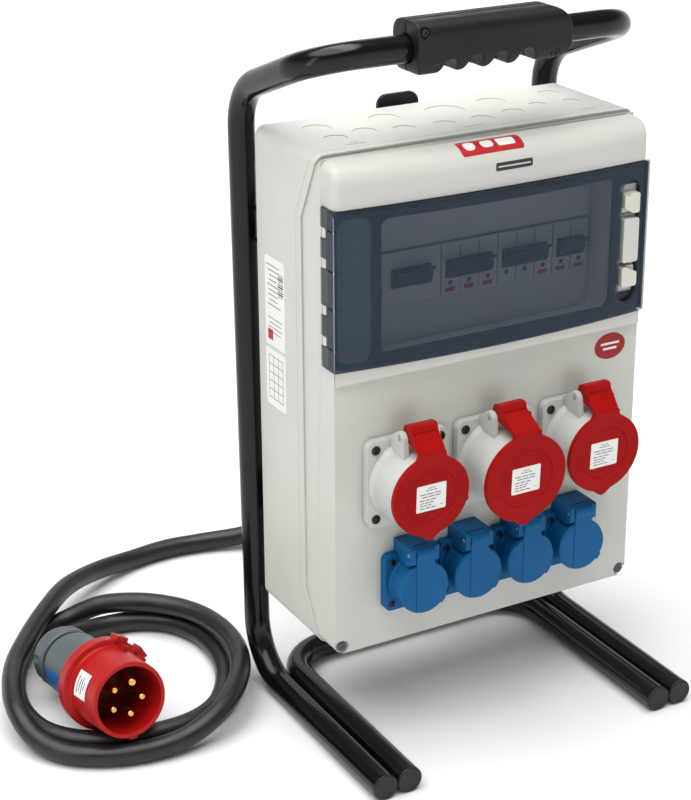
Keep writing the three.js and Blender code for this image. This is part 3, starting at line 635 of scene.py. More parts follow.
def supply_lead():
    line = smooth_route(ROUTE)
    curve = bpy.data.curves.new("mains_lead", "CURVE")
    curve.dimensions = "3D"
    spline = curve.splines.new("POLY")
    spline.points.add(len(line) - 1)
    for point, where in zip(spline.points, line):
        point.co = (*(where * MM), 1.0)
    curve.bevel_depth = CABLE_R * MM
    curve.bevel_resolution = 6
    curve.use_fill_caps = True
    curve.materials.append(RUBBER)
    lead = linked("mains_lead", curve)
    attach(lead, ROOT)
    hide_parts("mains_cable")

    nut = turned([
        (0, 0), (14, 0, 1), (19, -1.5, 3), (25, -5, 3), (27, -10, 3), (27, -23, 1.2),
        (25.6, -25, 0.8), (22, -25, 0.5), (22, -26), (0, -26),
    ], 4, PLUG, steps=72)
    grooves = []
    for k in range(8):
        angle = 2 * math.pi * (k + 0.3) / 8
        where = PLUG @ Matrix.Rotation(angle, 4, "Y") @ Matrix.Translation((29.6, 0, 0))
        grooves.append(prism(circle(4.2, 0, 0, 20), "y", -19, 2, where))
    piece(cut(nut, *grooves), "plug_nut", GREY, bevel=0.7)
    shell = turned([
        (0, -26.2), (23, -26.2), (23, -30.2), (26.2, -30.2, 0.8), (PLUG_R, -34, 1.5),
        (PLUG_R, -80.8), (0, -80.8),
    ], 4, PLUG, steps=72)
    ribs = []
    for k in range(14):
        angle = math.radians(-10 + 11 * k)
        where = PLUG @ Matrix.Rotation(angle, 4, "Y")
        ribs.append(block(PLUG_R - 0.3, PLUG_R + 0.3, -70, -52, -0.7, 0.7, where))
    piece(shell, "plug_shell", GREY, nodes=["plug_body"], bevel=0.4)
    piece(gather(*ribs), "plug_shell_ribs", GREY, bevel=0.25)

    collar = turned([
        (0, -81.3), (33, -81.3, 1), (36.5, -83.5, 2), (38.8, -88, 2), (39, -98.6, 1.4),
        (34.2, -99.6, 1.2), (33.2, -102, 2), (32.4, -PLUG_LENGTH + 2, 0.5), (32, -PLUG_LENGTH, 1),
        (28.6, -PLUG_LENGTH, 0.8), (28.5, -PLUG_LENGTH + 3), (28.5, -93), (0, -93),
    ], 5, PLUG, steps=96)
    lugs = []
    for degrees in (28, FIRST_PIN):
        where = PLUG @ Matrix.Rotation(-math.radians(degrees), 4, "Y")
        lugs.append(block(34, 42, -99.5, -88, -5.5, 5.5, where))
        lugs.append(block(30.5, 37, -110, -98, -2.2, 2.2, where))
    key = PLUG @ Matrix.Rotation(math.radians(90), 4, "Y")
    lugs.append(block(30.5, 34.4, -PLUG_LENGTH + 2, -98, -3.2, 3.2, key))
    collar = join(collar, *lugs)
    piece(collar, "plug_shroud", PLUG_RED, nodes=["plug_collar"], bevel=0.8)
    carrier = lathe([(0, -93.4), (28.2, -93.4), (28.2, -98), (0, -98)], PLUG, steps=64)
    piece(carrier, "plug_carrier", DARK_RED, bevel=0.4)
    pins = []
    for k in range(5):
        angle = math.radians(FIRST_PIN + 72 * k)
        r = 3.5 if k == 0 else 2.8
        pins.append(turned([
            (0, -94), (r, -94), (r, -PLUG_LENGTH + 6, 1.2), (r * 0.72, -PLUG_LENGTH + 5, 0.4),
            (0, -PLUG_LENGTH + 5),
        ], 4, PLUG, 14 * math.cos(angle), 14 * math.sin(angle), 24))
    piece(gather(*pins), "plug_pins", BRASS, nodes=["plug_contacts"])

    def wrap(radius, degrees, span, y0, y1, lift, name, look):
        """A sticker bent round the plug's axis."""
        outer, inner = [], []
        for k in range(13):
            angle = math.radians(degrees + span * (k / 12 - 0.5))
            way = Vector((math.cos(angle), math.sin(angle)))
            outer.append(way * (radius + lift))
            inner.append(way * (radius + STICKER_SUNK))
        ring = [(v.x, v.y) for v in outer] + [(v.x, v.y) for v in reversed(inner)]
        sticker = prism(ring, "y", y0, y1, PLUG)
        piece(sticker, name, look)

    wrap(SHROUD_R, 154, 38, -127, -107, 0.35, "plug_label", PAPER)
    for k, span in enumerate((26, 18, 24, 12)):
        wrap(SHROUD_R + 0.2, 154, span, -112 - 3.6 * k, -111 - 3.6 * k, 0.3,
             f"plug_label_line_{k + 1}", INK)
    wrap(PLUG_R, 192, 46, -62, -38, 0.25, "plug_patch", BLUE_INK)


def gland():
    """The cable gland: a hexagon nut, and a tapered relief with rings."""
    back = CASE_BACK
    nut = prism(circle(17.5, GLAND_X, GLAND_Z, 6), "y", back + 0.3, back + 8)
    relief = turned([
        (0, back + 0.4), (15.2, back + 0.4), (15.2, back + 10, 1), (14.4, back + 11, 0.5),
        (14.2, back + 20, 3), (11, 162, 1), (0, 162),
    ], 4, BODY, GLAND_X, GLAND_Z, 48)
    rings = [
        lathe([(14.9, back + y), (14.9, back + y + 1.1), (12, back + y + 1.1), (12, back + y)],
              BODY, GLAND_X, GLAND_Z, 48)
        for y in (12.5, 15.5, 18.5)
    ]
    piece(join(nut, relief, *rings), "gland_relief", GREY, nodes=["cable_gland"], bevel=0.5)


# ---- stand
TUBE_R = 11
OUTER_X, INNER_X = 146.5, 124.1  # the middle lines of the two tubes, from the middle
FEET_FRONT, TUBES_REAR = -81.5, 141
HANDLE_Y, HANDLE_Z = 24, 576
SCREW_HOLES = ((-62, 590), (56, 562.5))  # in the grip's front half


def bend_path(corners, radii, step=5.0):
    """The line through the corners, with each bent to its radius; the step is in degrees."""
    corners = [Vector(c) for c in corners]
    out = [corners[0]]
    for i, radius in enumerate(radii, 1):
        into = (corners[i] - corners[i - 1]).normalized()
        away = (corners[i + 1] - corners[i]).normalized()
        turn = into.angle(away)
        start = corners[i] - into * radius * math.tan(turn / 2)
        inward = (away - into * away.dot(into)).normalized()
        steps = max(4, round(math.degrees(turn) / step))
        for k in range(steps + 1):
            angle = turn * k / steps
            ahead, aside = radius * math.sin(angle), radius * (1 - math.cos(angle))
            out.append(start + into * ahead + inward * aside)
    out.append(corners[-1])
    return out


def stand():
    side = [(OUTER_X, FEET_FRONT, TUBE_R), (OUTER_X, TUBES_REAR, TUBE_R), (OUTER_X, 149.5, 528.5),
            (OUTER_X, HANDLE_Y, HANDLE_Z)]
    corners = [(-x, y, z) for x, y, z in side] + side[::-1]
    outer = sweep(bend_path(corners, [48, 44, 38, 38, 44, 48]), TUBE_R, BODY, 36)
    piece(outer, "stand_tube", TUBE, nodes=["stand_frame"])
    side = [(INNER_X, FEET_FRONT, TUBE_R), (INNER_X, TUBES_REAR, TUBE_R)]
    corners = [(-x, y, z) for x, y, z in side] + side[::-1]
    inner = sweep(bend_path(corners, [45, 45]), TUBE_R, BODY, 36)
    piece(inner, "base_tube_skin", TUBE, nodes=["base_tube"])
    for where, x in (("outer_left", -OUTER_X), ("inner_left", -INNER_X),
                     ("inner_right", INNER_X), ("outer_right", OUTER_X)):
        cap = turned([
            (0, -84.1), (7.8, -84.1, 0.3), (8.4, -84.5, 0.3), (10, -84.5, 0.8),
            (TUBE_R, -83.5, 0.6), (TUBE_R, -81.7, 0.2), (9.5, -81.7), (9.5, -70), (0, -70),
        ], 3, BODY, x, TUBE_R, 40)
        piece(cap, f"end_plug_{where}", CAP, nodes=[f"end_cap_{where}"])


def grip():
    """The handle's two half shells, remeshed so that the finger ridges are worn round."""
    left, right, low, high = -68.5, 71, 557.5, 598
    front = [(left, low + 5, 3), (left, high, 3), (right, high, 17), (right, low, 13),
             (40, low, 1)]
    for ridge in (16, -7.5, -30):
        front += [(ridge + 19, low + 12.5, 7), (ridge + 8.5, low + 11, 5), (ridge + 3.6, low, 3.2),
                  (ridge - 2.6, low, 3.2)]
    front += [(-34.5, low + 11, 6), (-44, low + 11, 6), (-48, low, 2), (left + 3, low, 3)]
    across = rect(4, 44, low - 1, high, 12, 8)
    for half, y0, y1 in (("front", 0, 23.75), ("rear", 24.25, 50)):
        shape = prism(fillet(front, 0, 5), "y", y0, y1)
        combine(shape, "INTERSECT", [prism(across, "x", -80, 80)])
        cut(shape, prism(circle(TUBE_R + 0.1, HANDLE_Y, HANDLE_Z, 40), "x", -90, 90))
        if half == "front":  # the holes that the screws' heads lie in
            cut(shape, *[prism(circle(radius, x, z, 24), "y", 0, 9)
                         for radius, (x, z) in zip((3.9, 3.3), SCREW_HOLES)])
        remesh = shape.modifiers.new("even", "REMESH")
        remesh.mode = "VOXEL"
        remesh.voxel_size = 0.00085
        smooth = shape.modifiers.new("worn", "SMOOTH")
        smooth.factor = 0.5
        smooth.iterations = 9
        bake(shape)
        piece(shape, f"grip_{half}_half", MATTE, nodes=[f"grip_{half}"], angle=60)
    screws = [
        turned([(0, 8.2), (3.3, 8.2), (3.3, 5.6, 0.5), (1.4, 5.6, 0.2), (1.2, 6.6), (0, 6.6)],
               3, BODY, x, z, 24)
        for x, z in SCREW_HOLES
    ]
    piece(gather(*screws), "grip_screws", SCREW)


def rails_and_hook():
    for name in ("upper_rail", "lower_rail"):
        refined(name, TUBE, 0.8)
    low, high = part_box("cable_hook")
    x0, x1 = low.x / MM, high.x / MM
    y0, y1 = low.y / MM - PANEL_Y, high.y / MM - PANEL_Y
    z0, z1 = low.z / MM, high.z / MM
    arm, tip, thick = 440, 476, 4
    side = [
        (y0, z0), (y0 + thick, z0), (y0 + thick, arm, 3), (y1, arm, 3), (y1, tip),
        (y1 - thick, tip), (y1 - thick, arm + thick, 3), (y0 + thick, arm + thick, 3),
        (y0 + thick, z1), (y0, z1),
    ]
    hook = prism(fillet(side, 0, 4), "x", x0, x1)
    combine(hook, "INTERSECT", [prism(rect(x0, x1, z0, z1, 9, 8), "y", y0 - 2, y1 + 2)])
    piece(hook, "cable_hook_bar", CAP, nodes=["cable_hook"], bevel=1.2, segments=3)
    bolts = []
    for z in (180, 420):
        for x in (-112, 112):
            bolts.append(turned([
                (0, 127.6), (5.5, 127.6), (5.5, 129.4, 1.4), (2, 130.2, 0.3), (1.8, 129), (0, 129),
            ], 3, BODY, x, z, 28))
    piece(gather(*bolts), "rail_bolts", STEEL)


# ---- enclosure
CASE_TOP = 501.0
HEADER_BASE = 466.8
COVER_SCREWS = ((-139.2, 94.5), (139.2, 94.5))


def knockouts(case):
    """Rings and strokes pressed into the case's top, and discs into its underside. A ring is
    its x, its far edge and its radius."""
    ring_z, stroke_z, above = 503.45, 503.3, 506
    rear = [(-107.9, 104.3, 11.8), (-45.8, 107, 13), (9.2, 107, 16.5), (57.5, 109, 12.2),
            (115.2, 106.3, 9.2)]
    row = [(-108.9, 69.7, 9.6), (-79.3, 77, 9.8), (-48.2, 67.8, 9.6), (-13.2, 64.5, 9.2),
           (21.6, 63.6, 9.4), (55.3, 69.2, 8.8), (85.2, 77, 7), (115.9, 72.7, 7)]
    tools = []
    for x, far, radius in rear + row:
        tools.append(prism(circle(radius, x, far - radius, 40), "z", ring_z, above))
    for x in (-103.9, 2.5, 112.9):
        tools.append(block(x - 9, x + 9, 37.6, 38.6, stroke_z, above))
    for x in range(-100, 101, 50):
        tools.append(prism(circle(11, x, 92, 40), "z", 80, 87.5))
    tools.append(block(-107, -99, 42.5, 43.3, stroke_z, above))
    cut(case, *tools)


def header():
    """The cover's top: bowed like the door, with a large round along its front upper edge."""
    half, back, front, bulge, round_y, round_x = 145.0, 19.3, -3, 6.5, 17.0, 8.0
    levels = [(HEADER_BASE, 0.0, 0.0)]
    for k in range(13):
        angle = math.pi / 2 * k / 12
        z = CASE_TOP - round_y + round_y * math.sin(angle)
        over = max(0.0, z - (CASE_TOP - round_x))
        inset_x = round_x - math.sqrt(round_x ** 2 - over ** 2)
        levels.append((z, round_y * (1 - math.cos(angle)), inset_x))
    verts, rows = [], []
    for z, inset_y, inset_x in levels:
        wide = half - inset_x
        line = [(-wide, back)]
        for k in range(25):
            x = -wide + 2 * wide * k / 24
            y = front - bulge * (1 - (x / half) ** 2) + inset_y
            line.append((x, y, 6.0 if k in (0, 24) else 0.0))
        outline = fillet([*line, (wide, back)], 0.0, 6)
        rows.append(range(len(verts), len(verts) + len(outline)))
        verts += [(p.x, p.y, z) for p in outline]
    faces = [tuple(rows[0]), tuple(rows[-1])]
    for low, high in zip(rows, rows[1:]):
        for k in range(len(low)):
            nxt = (k + 1) % len(low)
            faces.append((low[k], low[nxt], high[nxt], high[k]))
    return build(verts, faces)


def cover_changes(cover):
    """Gives the cover its header, and its recesses for the lower screws."""
    cut(cover, block(-160, 160, -40, 19, HEADER_BASE, 520))
    join(cover, header())
    tidy_faces(cover)
    cut(cover, *[prism(circle(6, x, z, 28), "y", -3, 2.2) for x, z in COVER_SCREWS],
        block(-150, -139.2, -3, 2.2, 84, 100), block(139.2, 150, -3, 2.2, 84, 92))


def enclosure():
    refined("rear_case", CASE, 1.6, changes=knockouts)
    refined("case_gasket", GASKET, 0)
    cover = refined("front_cover", CASE, 1.0, changes=cover_changes)
    screws = [
        turned([(0, 2.5), (4.4, 2.5), (4.4, 0.9, 0.7), (1.8, 0.5, 0.3), (1.4, 1.4), (0, 1.4)],
               3, BODY, x, z, 28)
        for x, z in COVER_SCREWS
    ]
    piece(gather(*screws), "cover_screws", GREY)
    refined("module_cover", MODULE, 0.5)
    return cover


PRINT_LIFT = 0.16  # of what is printed on a sticker
SIDE_X = -146.5  # the case's left wall
LABEL_Y = 95


def stickers(cover):
    case = bpy.data.objects["rear_case_skin"]

    def sticker(name, look, target, centre, axis, size, radius, lift=0.02, cells=(24, 8)):
        sign = 1 if axis == "z" else -1
        shape = on_surface(target, centre, axis, sign, size, radius, lift, cells)
        piece(shape, name, look, angle=50)

    sticker("notice_sticker", RED_INK, cover, (-6, 1.5, CASE_TOP), "z", (57, 15), 2.5)
    marks = [(-25, 10, 8.5, 3.8), (-9, 11, 7.5, 3), (8, 16, 8, 1.6)]
    for k, (x, width, depth, radius) in enumerate(marks):
        sticker(f"notice_mark_{k + 1}", PAPER, cover, (x, 1.5, CASE_TOP), "z", (width, depth),
                radius, PRINT_LIFT, (14, 8))
    sticker("name_plate", INK, cover, (10.5, 483, 0), "y", (34, 6.5), 1.2)
    sticker("name_plate_edge", CLIP, cover, (10.5, 483, 0), "y", (30, 1.1), 0.5, PRINT_LIFT)
    x, z = 117.5, 309
    oval = (31, 23)
    sticker("oval_sticker", OVAL_INK, cover, (x, z, 0), "y", oval, (15.5, 11.5), 0.02, (40, 28))
    for k, (up, width) in enumerate(((2.2, 19), (-2.2, 14))):
        sticker(f"oval_mark_{k + 1}", PAPER, cover, (x, z + up, 0), "y", (width, 2), 0.9,
                PRINT_LIFT, (10, 4))
    for name, z, height in (("rating_label", 364, 76), ("wiring_label", 298, 50)):
        sticker(name, PAPER, case, (LABEL_Y, z, SIDE_X), "x", (34, height), 3)
    lines = [(98 - (k % 3), 395 - 4.2 * k, 22 - 3 * (k % 4), 0.7) for k in range(9)]
    lines += [(84.5, 391 - 2.1 * k, 9, 0.55 + 0.45 * (k % 3)) for k in range(10)]
    lines += [(LABEL_Y, 350 - 4 * k, 24 - 4 * (k % 2), 0.6) for k in range(4)]
    lines += [(LABEL_Y, 317 - 7.4 * k, 25, 0.5) for k in range(6)]
    lines += [(y, 299, 0.5, 37) for y in (83, 91, 99, 107)]
    ink = (SIDE_X - 0.24, SIDE_X - 0.1)
    strokes = [
        block(*ink, y - width / 2, y + width / 2, z - height / 2, z + height / 2)
        for y, z, width, height in lines
    ]
    piece(gather(*strokes), "side_label_lines", INK)
    piece(block(*ink, 99, 108, 331, 340), "side_label_mark", RED_INK)


# ---- door and breakers
WINDOW = (-106.0, 111.5, 346.5, 456.0)  # the door's clear part, its x and z limits
DOOR_HALF = 144.2  # half the width of the door's bowed inner face
DOOR_EDGE_Y, DOOR_BULGE = -1, 10
LATCH_X = 128
LATCH_REACH = (355.5, 448)  # how far the hooks reach in z, with their travel
# the darker layers behind the door are painted shade
BEHIND = 0.15  # the gap from the door's inner face to the layers that give it its tones


def slot_tools():
    """Thin slots in the door's hinge edge, at both ends of each clip."""
    tools = []
    for which in ("upper", "lower"):
        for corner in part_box(f"hinge_clip_{which}"):
            z = corner.z / MM
            tools.append(prism([(-149, z - 0.7), (-143.5, z - 0.7), (-139.5, z), (-143.5, z + 0.7),
                                (-149, z + 0.7)], "y", -14, 8))
    return tools


def latch_notch(shape):
    """The slanted faces of the two hooks, and the upper one's finger dent."""
    low, high = [corner.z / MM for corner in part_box("latch_upper")]
    upper = prism([(LATCH_X - 9, low - 1), (LATCH_X + 3, low - 1), (LATCH_X - 9, low + 6)],
                  "y", -10, -3.2)
    dent = prism(circle(2.6, LATCH_X - 4, high, 20), "y", -10, -5.5)
    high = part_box("latch_lower")[1].z / MM
    lower = prism([(LATCH_X + 9, high + 1), (LATCH_X - 5, high + 1), (LATCH_X + 9, high - 6)],
                  "y", -10, -3.2)
    cut(shape, upper, dent, lower)


def bow(x, back):
    """The y of a layer that lies this far behind the door's bowed inner face."""
    return DOOR_EDGE_Y - DOOR_BULGE * (1 - (x / DOOR_HALF) ** 2) + back


def between_bows(shape, far=None):
    """The part of a shape from just behind the door's inner face to a layer behind it, or, with no
    far layer, to just in front of the cover."""
    steps = range(-144, 145, 12)
    front = [(x, bow(x, BEHIND)) for x in steps]
    back = [(x, bow(x, far) if far else -0.7) for x in reversed(steps)]
    return combine(shape, "INTERSECT", [prism(front + back, "z", 330, 470)])


def door():
    refined("door", SMOKED, 1.3, "door", lambda shape: cut(shape, *slot_tools()))
    for which in ("upper", "lower"):
        refined(f"hinge_clip_{which}", CLIP, 0.4)
        refined(f"latch_{which}", CLIP, 0.8, f"latch_{which}", latch_notch)
    left, right, low, high = WINDOW
    side = rect(-142.5, left - 9, 342.5, 459, 9, 8)
    side_plate = prism(side, "y", -16, 0)
    piece(between_bows(side_plate, 0.7), "door_side_layer", SMOKED_FRAME, body="door")
    rim = rect(left - 6, right + 4.5, low - 5, high + 5, 11, 8)
    latches = rect(LATCH_X - 10.6, LATCH_X + 9.6, 347.9, 453.1, 10, 10)
    # painted shade: a dark sheet behind the door's border
    border_shade = prism(rect(-144, 144, 338, 462.6, 2), "y", -16, 0)
    cut(border_shade, *[prism(outline, "y", -20, 5) for outline in (side, rim, latches)])
    piece(between_bows(border_shade, 0.75), "door_frame_shade", DOOR_SHADE_PAINT, body="door")
    # painted shade: a near-black band behind the door round its window
    window_shade = prism(rim, "y", -14, -0.8)
    cut(window_shade, prism(rect(*WINDOW, 7, 8), "y", -20, 5))
    piece(between_bows(window_shade), "door_rib_shade", DEEP_SHADE_PAINT, body="door", bevel=0.3)
    # painted highlight: a thin light strip along the door's left front edge
    highlight_strip = sweep([(-146.5, -3.5, 338.8 + 2.1 * k) for k in range(60)],
                   lambda t: 0.5 * math.sin(math.pi * (0.06 + 0.88 * t)) ** 0.3, BODY, 12)
    piece(highlight_strip, "door_edge_highlight", EDGE_HIGHLIGHT_PAINT, body="door")
    # painted shade: dark strips behind the door's side and top edges
    edges = [block(144.6, 146.4, -2.6, 7.2, 338.5, 464.8),
             block(-146.4, -144.6, -2.6, 6.8, 338.5, 464.8),
             block(-143.5, 143.5, -2.4, -1.2, 463.7, 465.2)]
    cut(gather(*edges), *slot_tools())
    piece(edges[0], "door_edge_shade", DOOR_SHADE_PAINT, body="door", bevel=0.2)
    # painted shade: a near-black sheet round the latches
    latch_shade_sheet = prism(rect(LATCH_X - 11.4, LATCH_X + 10.4, 347, 454, 10.8, 10), "y", -1.7, -0.5)
    cut(latch_shade_sheet, block(LATCH_X - 8.3, LATCH_X + 8.3, -5, 5, *LATCH_REACH))
    piece(latch_shade_sheet, "door_latch_shade", DEEP_SHADE_PAINT, body="door", bevel=0.3)


MODULE_WIDTH = 17.8


def breakers():
    refined("din_rail", STEEL, 0.2)
    for name in ("rcd", "mcb_1", "mcb_2", "mcb_3"):
        refined(f"{name}_body", MODULE, 0.6, slot="breaker_plastic")
        refined(f"{name}_lever", DARK, 0.5, body=f"{name}_lever")
    refined("rcd_test_button", BLUE, 0.5, body="rcd_test_button")
    dots, marks, splits = [], [], []
    for k in range(8):  # the modules after the four of the residual current device
        x = MODULE_WIDTH * (k - 2)
        dots.append(block(x + 7, x + 10.5, 21.82, 22.2, 381.5, 385))
        splits.append(block(x - 0.25, x + 0.25, 21.86, 22.2, 374, 416))
        if k not in (3, 4):  # two modules carry no mark
            marks.append(block(x + 4, x + 13, 21.84, 22.2, 376, 379.6))
    piece(gather(*dots), "breaker_windows", DARK)
    piece(gather(*splits), "breaker_joints", INK)
    piece(gather(*marks), "breaker_marks", RED_INK)


# ---- sockets
INDUSTRIALS = ((-82.3, 34.5, 39), (1, 37.75, 48), (84.3, 34.5, 39))  # x, lid's radius, front
INDUSTRIAL_Z = 237.2
HOUSEHOLDS = (-78.2, -26.6, 25, 76.6)
HOUSEHOLD_Z = 146


def screw_head(x, z, radius, y, at):
    """A pan head with a cross recess, its top towards -Y."""
    head = turned([
        (0, y + 0.6), (radius, y + 0.6), (radius, y - 1.0, radius * 0.3),
        (radius * 0.5, y - 1.9, radius * 0.5), (0, y - 2.0),
    ], 4, at, x, z, 32)
    arm, thin = radius * 0.62, radius * 0.16
    angle = 0.5 + 0.09 * x  # so that no two are turned alike
    turn = at @ Matrix.Translation((x, 0, z)) @ Matrix.Rotation(angle, 4, "Y")
    return cut(head, block(-arm, arm, y - 3, y - 1.0, -thin, thin, turn),
               block(-thin, thin, y - 3, y - 1.0, -arm, arm, turn))


def industrial(number, x, lid_radius, front):
    """A red industrial socket; its barrel and lid are tilted a little from the flange."""
    at = BODY @ Matrix.Translation((x, 0, INDUSTRIAL_Z))
    tilt = at @ Matrix.Rotation(math.radians(2.5), 4, "X")
    pin_y, pin_z = -22, 43.5
    name = f"industrial_{number}"
    flange = prism(rect(-37.5, 37.5, -37.5, 37.5, 7), "y", -8, -0.3, at)
    barrel = turned([
        (0, -1.5), (36.4, -1.5), (36.4, -8.2, 0.6), (33.6, -12, 3), (33, -front, 0.8), (0, -front),
    ], 5, tilt, steps=96)
    neck = lathe([(0, -2), (30.5, -2), (30.5, 45), (0, 45)], at, steps=64)
    ear = [(-5, 28), (pin_y - 8, 26), (pin_y - 5.5, pin_z + 1, 5), (pin_y - 2, pin_z + 5, 4),
           (pin_y + 4, pin_z + 4, 4), (-5, 37.5)]
    ears = [prism(fillet(ear, 0, 4), "x", a, b, at) for a, b in ((12.4, 17), (-17, -12.4))]
    housing = join(flange, barrel, neck, *ears)
    cut(housing,
        lathe([(0, -front - 5), (29.5, -front - 5), (29.5, -4), (0, -4)], tilt, steps=96),
        lathe([(0, -6), (28, -6), (28, 46), (0, 46)], at, steps=64),
        prism(circle(2.3, pin_y, pin_z, 24), "x", -20, 20, at))
    piece(housing, f"{name}_base", SOCKET_GREY, nodes=[f"{name}_housing"], bevel=0.9)
    insert = turned([(0, -front + 12), (23, -front + 12, 1), (23, 41), (0, 41)], 3, at)
    holes = []
    for k in range(5):
        angle = -math.pi / 2 + k * 2 * math.pi / 5
        hole = circle(2.9 if k else 3.6, 15 * math.cos(angle), 15 * math.sin(angle), 20)
        holes.append(prism(hole, "y", -40, -5, at))
    piece(cut(insert, *holes), f"{name}_core", DARK, nodes=[f"{name}_insert"], bevel=0.3)
    rod = prism(circle(2, pin_y, pin_z, 24), "x", -17.2, 17.2, at)
    piece(rod, f"{name}_axle", STEEL, nodes=[f"{name}_pin"], bevel=0.4)
    screws = [screw_head(a, b, 3.9, -8, at) for a in (-30, 30) for b in (-30, 30)]
    piece(gather(*screws), f"{name}_screws", SCREW, bevel=0.15)

    top = lid_radius * 0.9
    start, end, steps = math.asin(13.5 / lid_radius), math.pi - math.radians(15), 44
    angles = [start + (end - start) * k / steps for k in range(steps + 1)]
    plate = [(lid_radius * math.sin(a), lid_radius * math.cos(a)) for a in angles]
    nose = [(3.4, -lid_radius - 3.1, 2.5), (0, -lid_radius - 4.4, 2)]
    right = [(12.2, lid_radius + 3), (12.2, top + 3.5, 5), *plate, *nose]
    left = [(-p[0], *p[1:]) for p in reversed(right[:-1])]
    face = prism(fillet(right + left, 0, 5), "y", -front - 5, -front - 0.3, tilt)
    sunk = lid_radius * 0.66
    off_seam = tilt @ Matrix.Rotation(0.02, 4, "Y")  # so that no edges of the two coincide
    cut(face, lathe([(0, -front - 9), (sunk + 0.7, -front - 9), (sunk + 0.7, -front - 5),
                     (sunk, -front - 4), (0, -front - 4)], off_seam, steps=80))
    out = -front - 5.3
    crown = lid_radius + 1
    arm = [
        (out, crown - 10), (out, crown, 4), (pin_y - 11, pin_z + 5.5, 4),
        (pin_y - 9, pin_z + 11.5, 2.5), (pin_y + 1, pin_z + 10.5, 4), (pin_y + 4, pin_z, 3),
        (pin_y - 3.5, pin_z - 3, 3), (-front - 2.5, 36, 2), (-front - 2.5, crown - 10),
    ]
    lid = join(face, prism(fillet(arm, 0, 4), "x", -12, 12, at),
               prism(circle(4.2, pin_y, pin_z, 32), "x", -12, 12, at))
    cut(lid, prism(circle(2.3, pin_y, pin_z, 24), "x", -20, 20, at))
    tidy_faces(lid, 0.1)
    body = f"{name}_lid"
    piece(lid, f"{name}_cap", RED, body=body, nodes=[body], bevel=1.4, segments=3)
    ridge = block(-10.5, 10.5, pin_y - 11.4, pin_y - 9.6, pin_z + 6, pin_z + 7.2, at)
    piece(ridge, f"{name}_cap_ridge", RED, body=body, bevel=0.4)
    label_y = -front - 4
    paper = prism(rect(-13.5, 13.5, -12.5, 10.5, 1.2, 4), "y", label_y - 0.2, label_y + 0.1, tilt)
    piece(paper, f"{name}_label", PAPER, body=body)
    strokes = []
    rows = [(0, 7.6, 7), (0, 5.6, 11), (-1, 2.6, 20), (0, 0.2, 18), (-3, -2.6, 16), (-4, -5, 13),
            (-5, -7.2, 11), (-3, -9.6, 15), (9.6, -8.6, 3)]
    for k, (mid, z, width) in enumerate(rows):
        for part in range(3):
            half = max(0.5, width / 3 - 0.7 - 0.3 * ((k + part) % 2)) / 2
            where = mid + (part - 1) * width / 3
            strokes.append(block(where - half, where + half, label_y - 0.26, label_y - 0.18,
                                 z - 0.32, z + 0.32, tilt))
    piece(gather(*strokes), f"{name}_label_lines", INK, body=body)


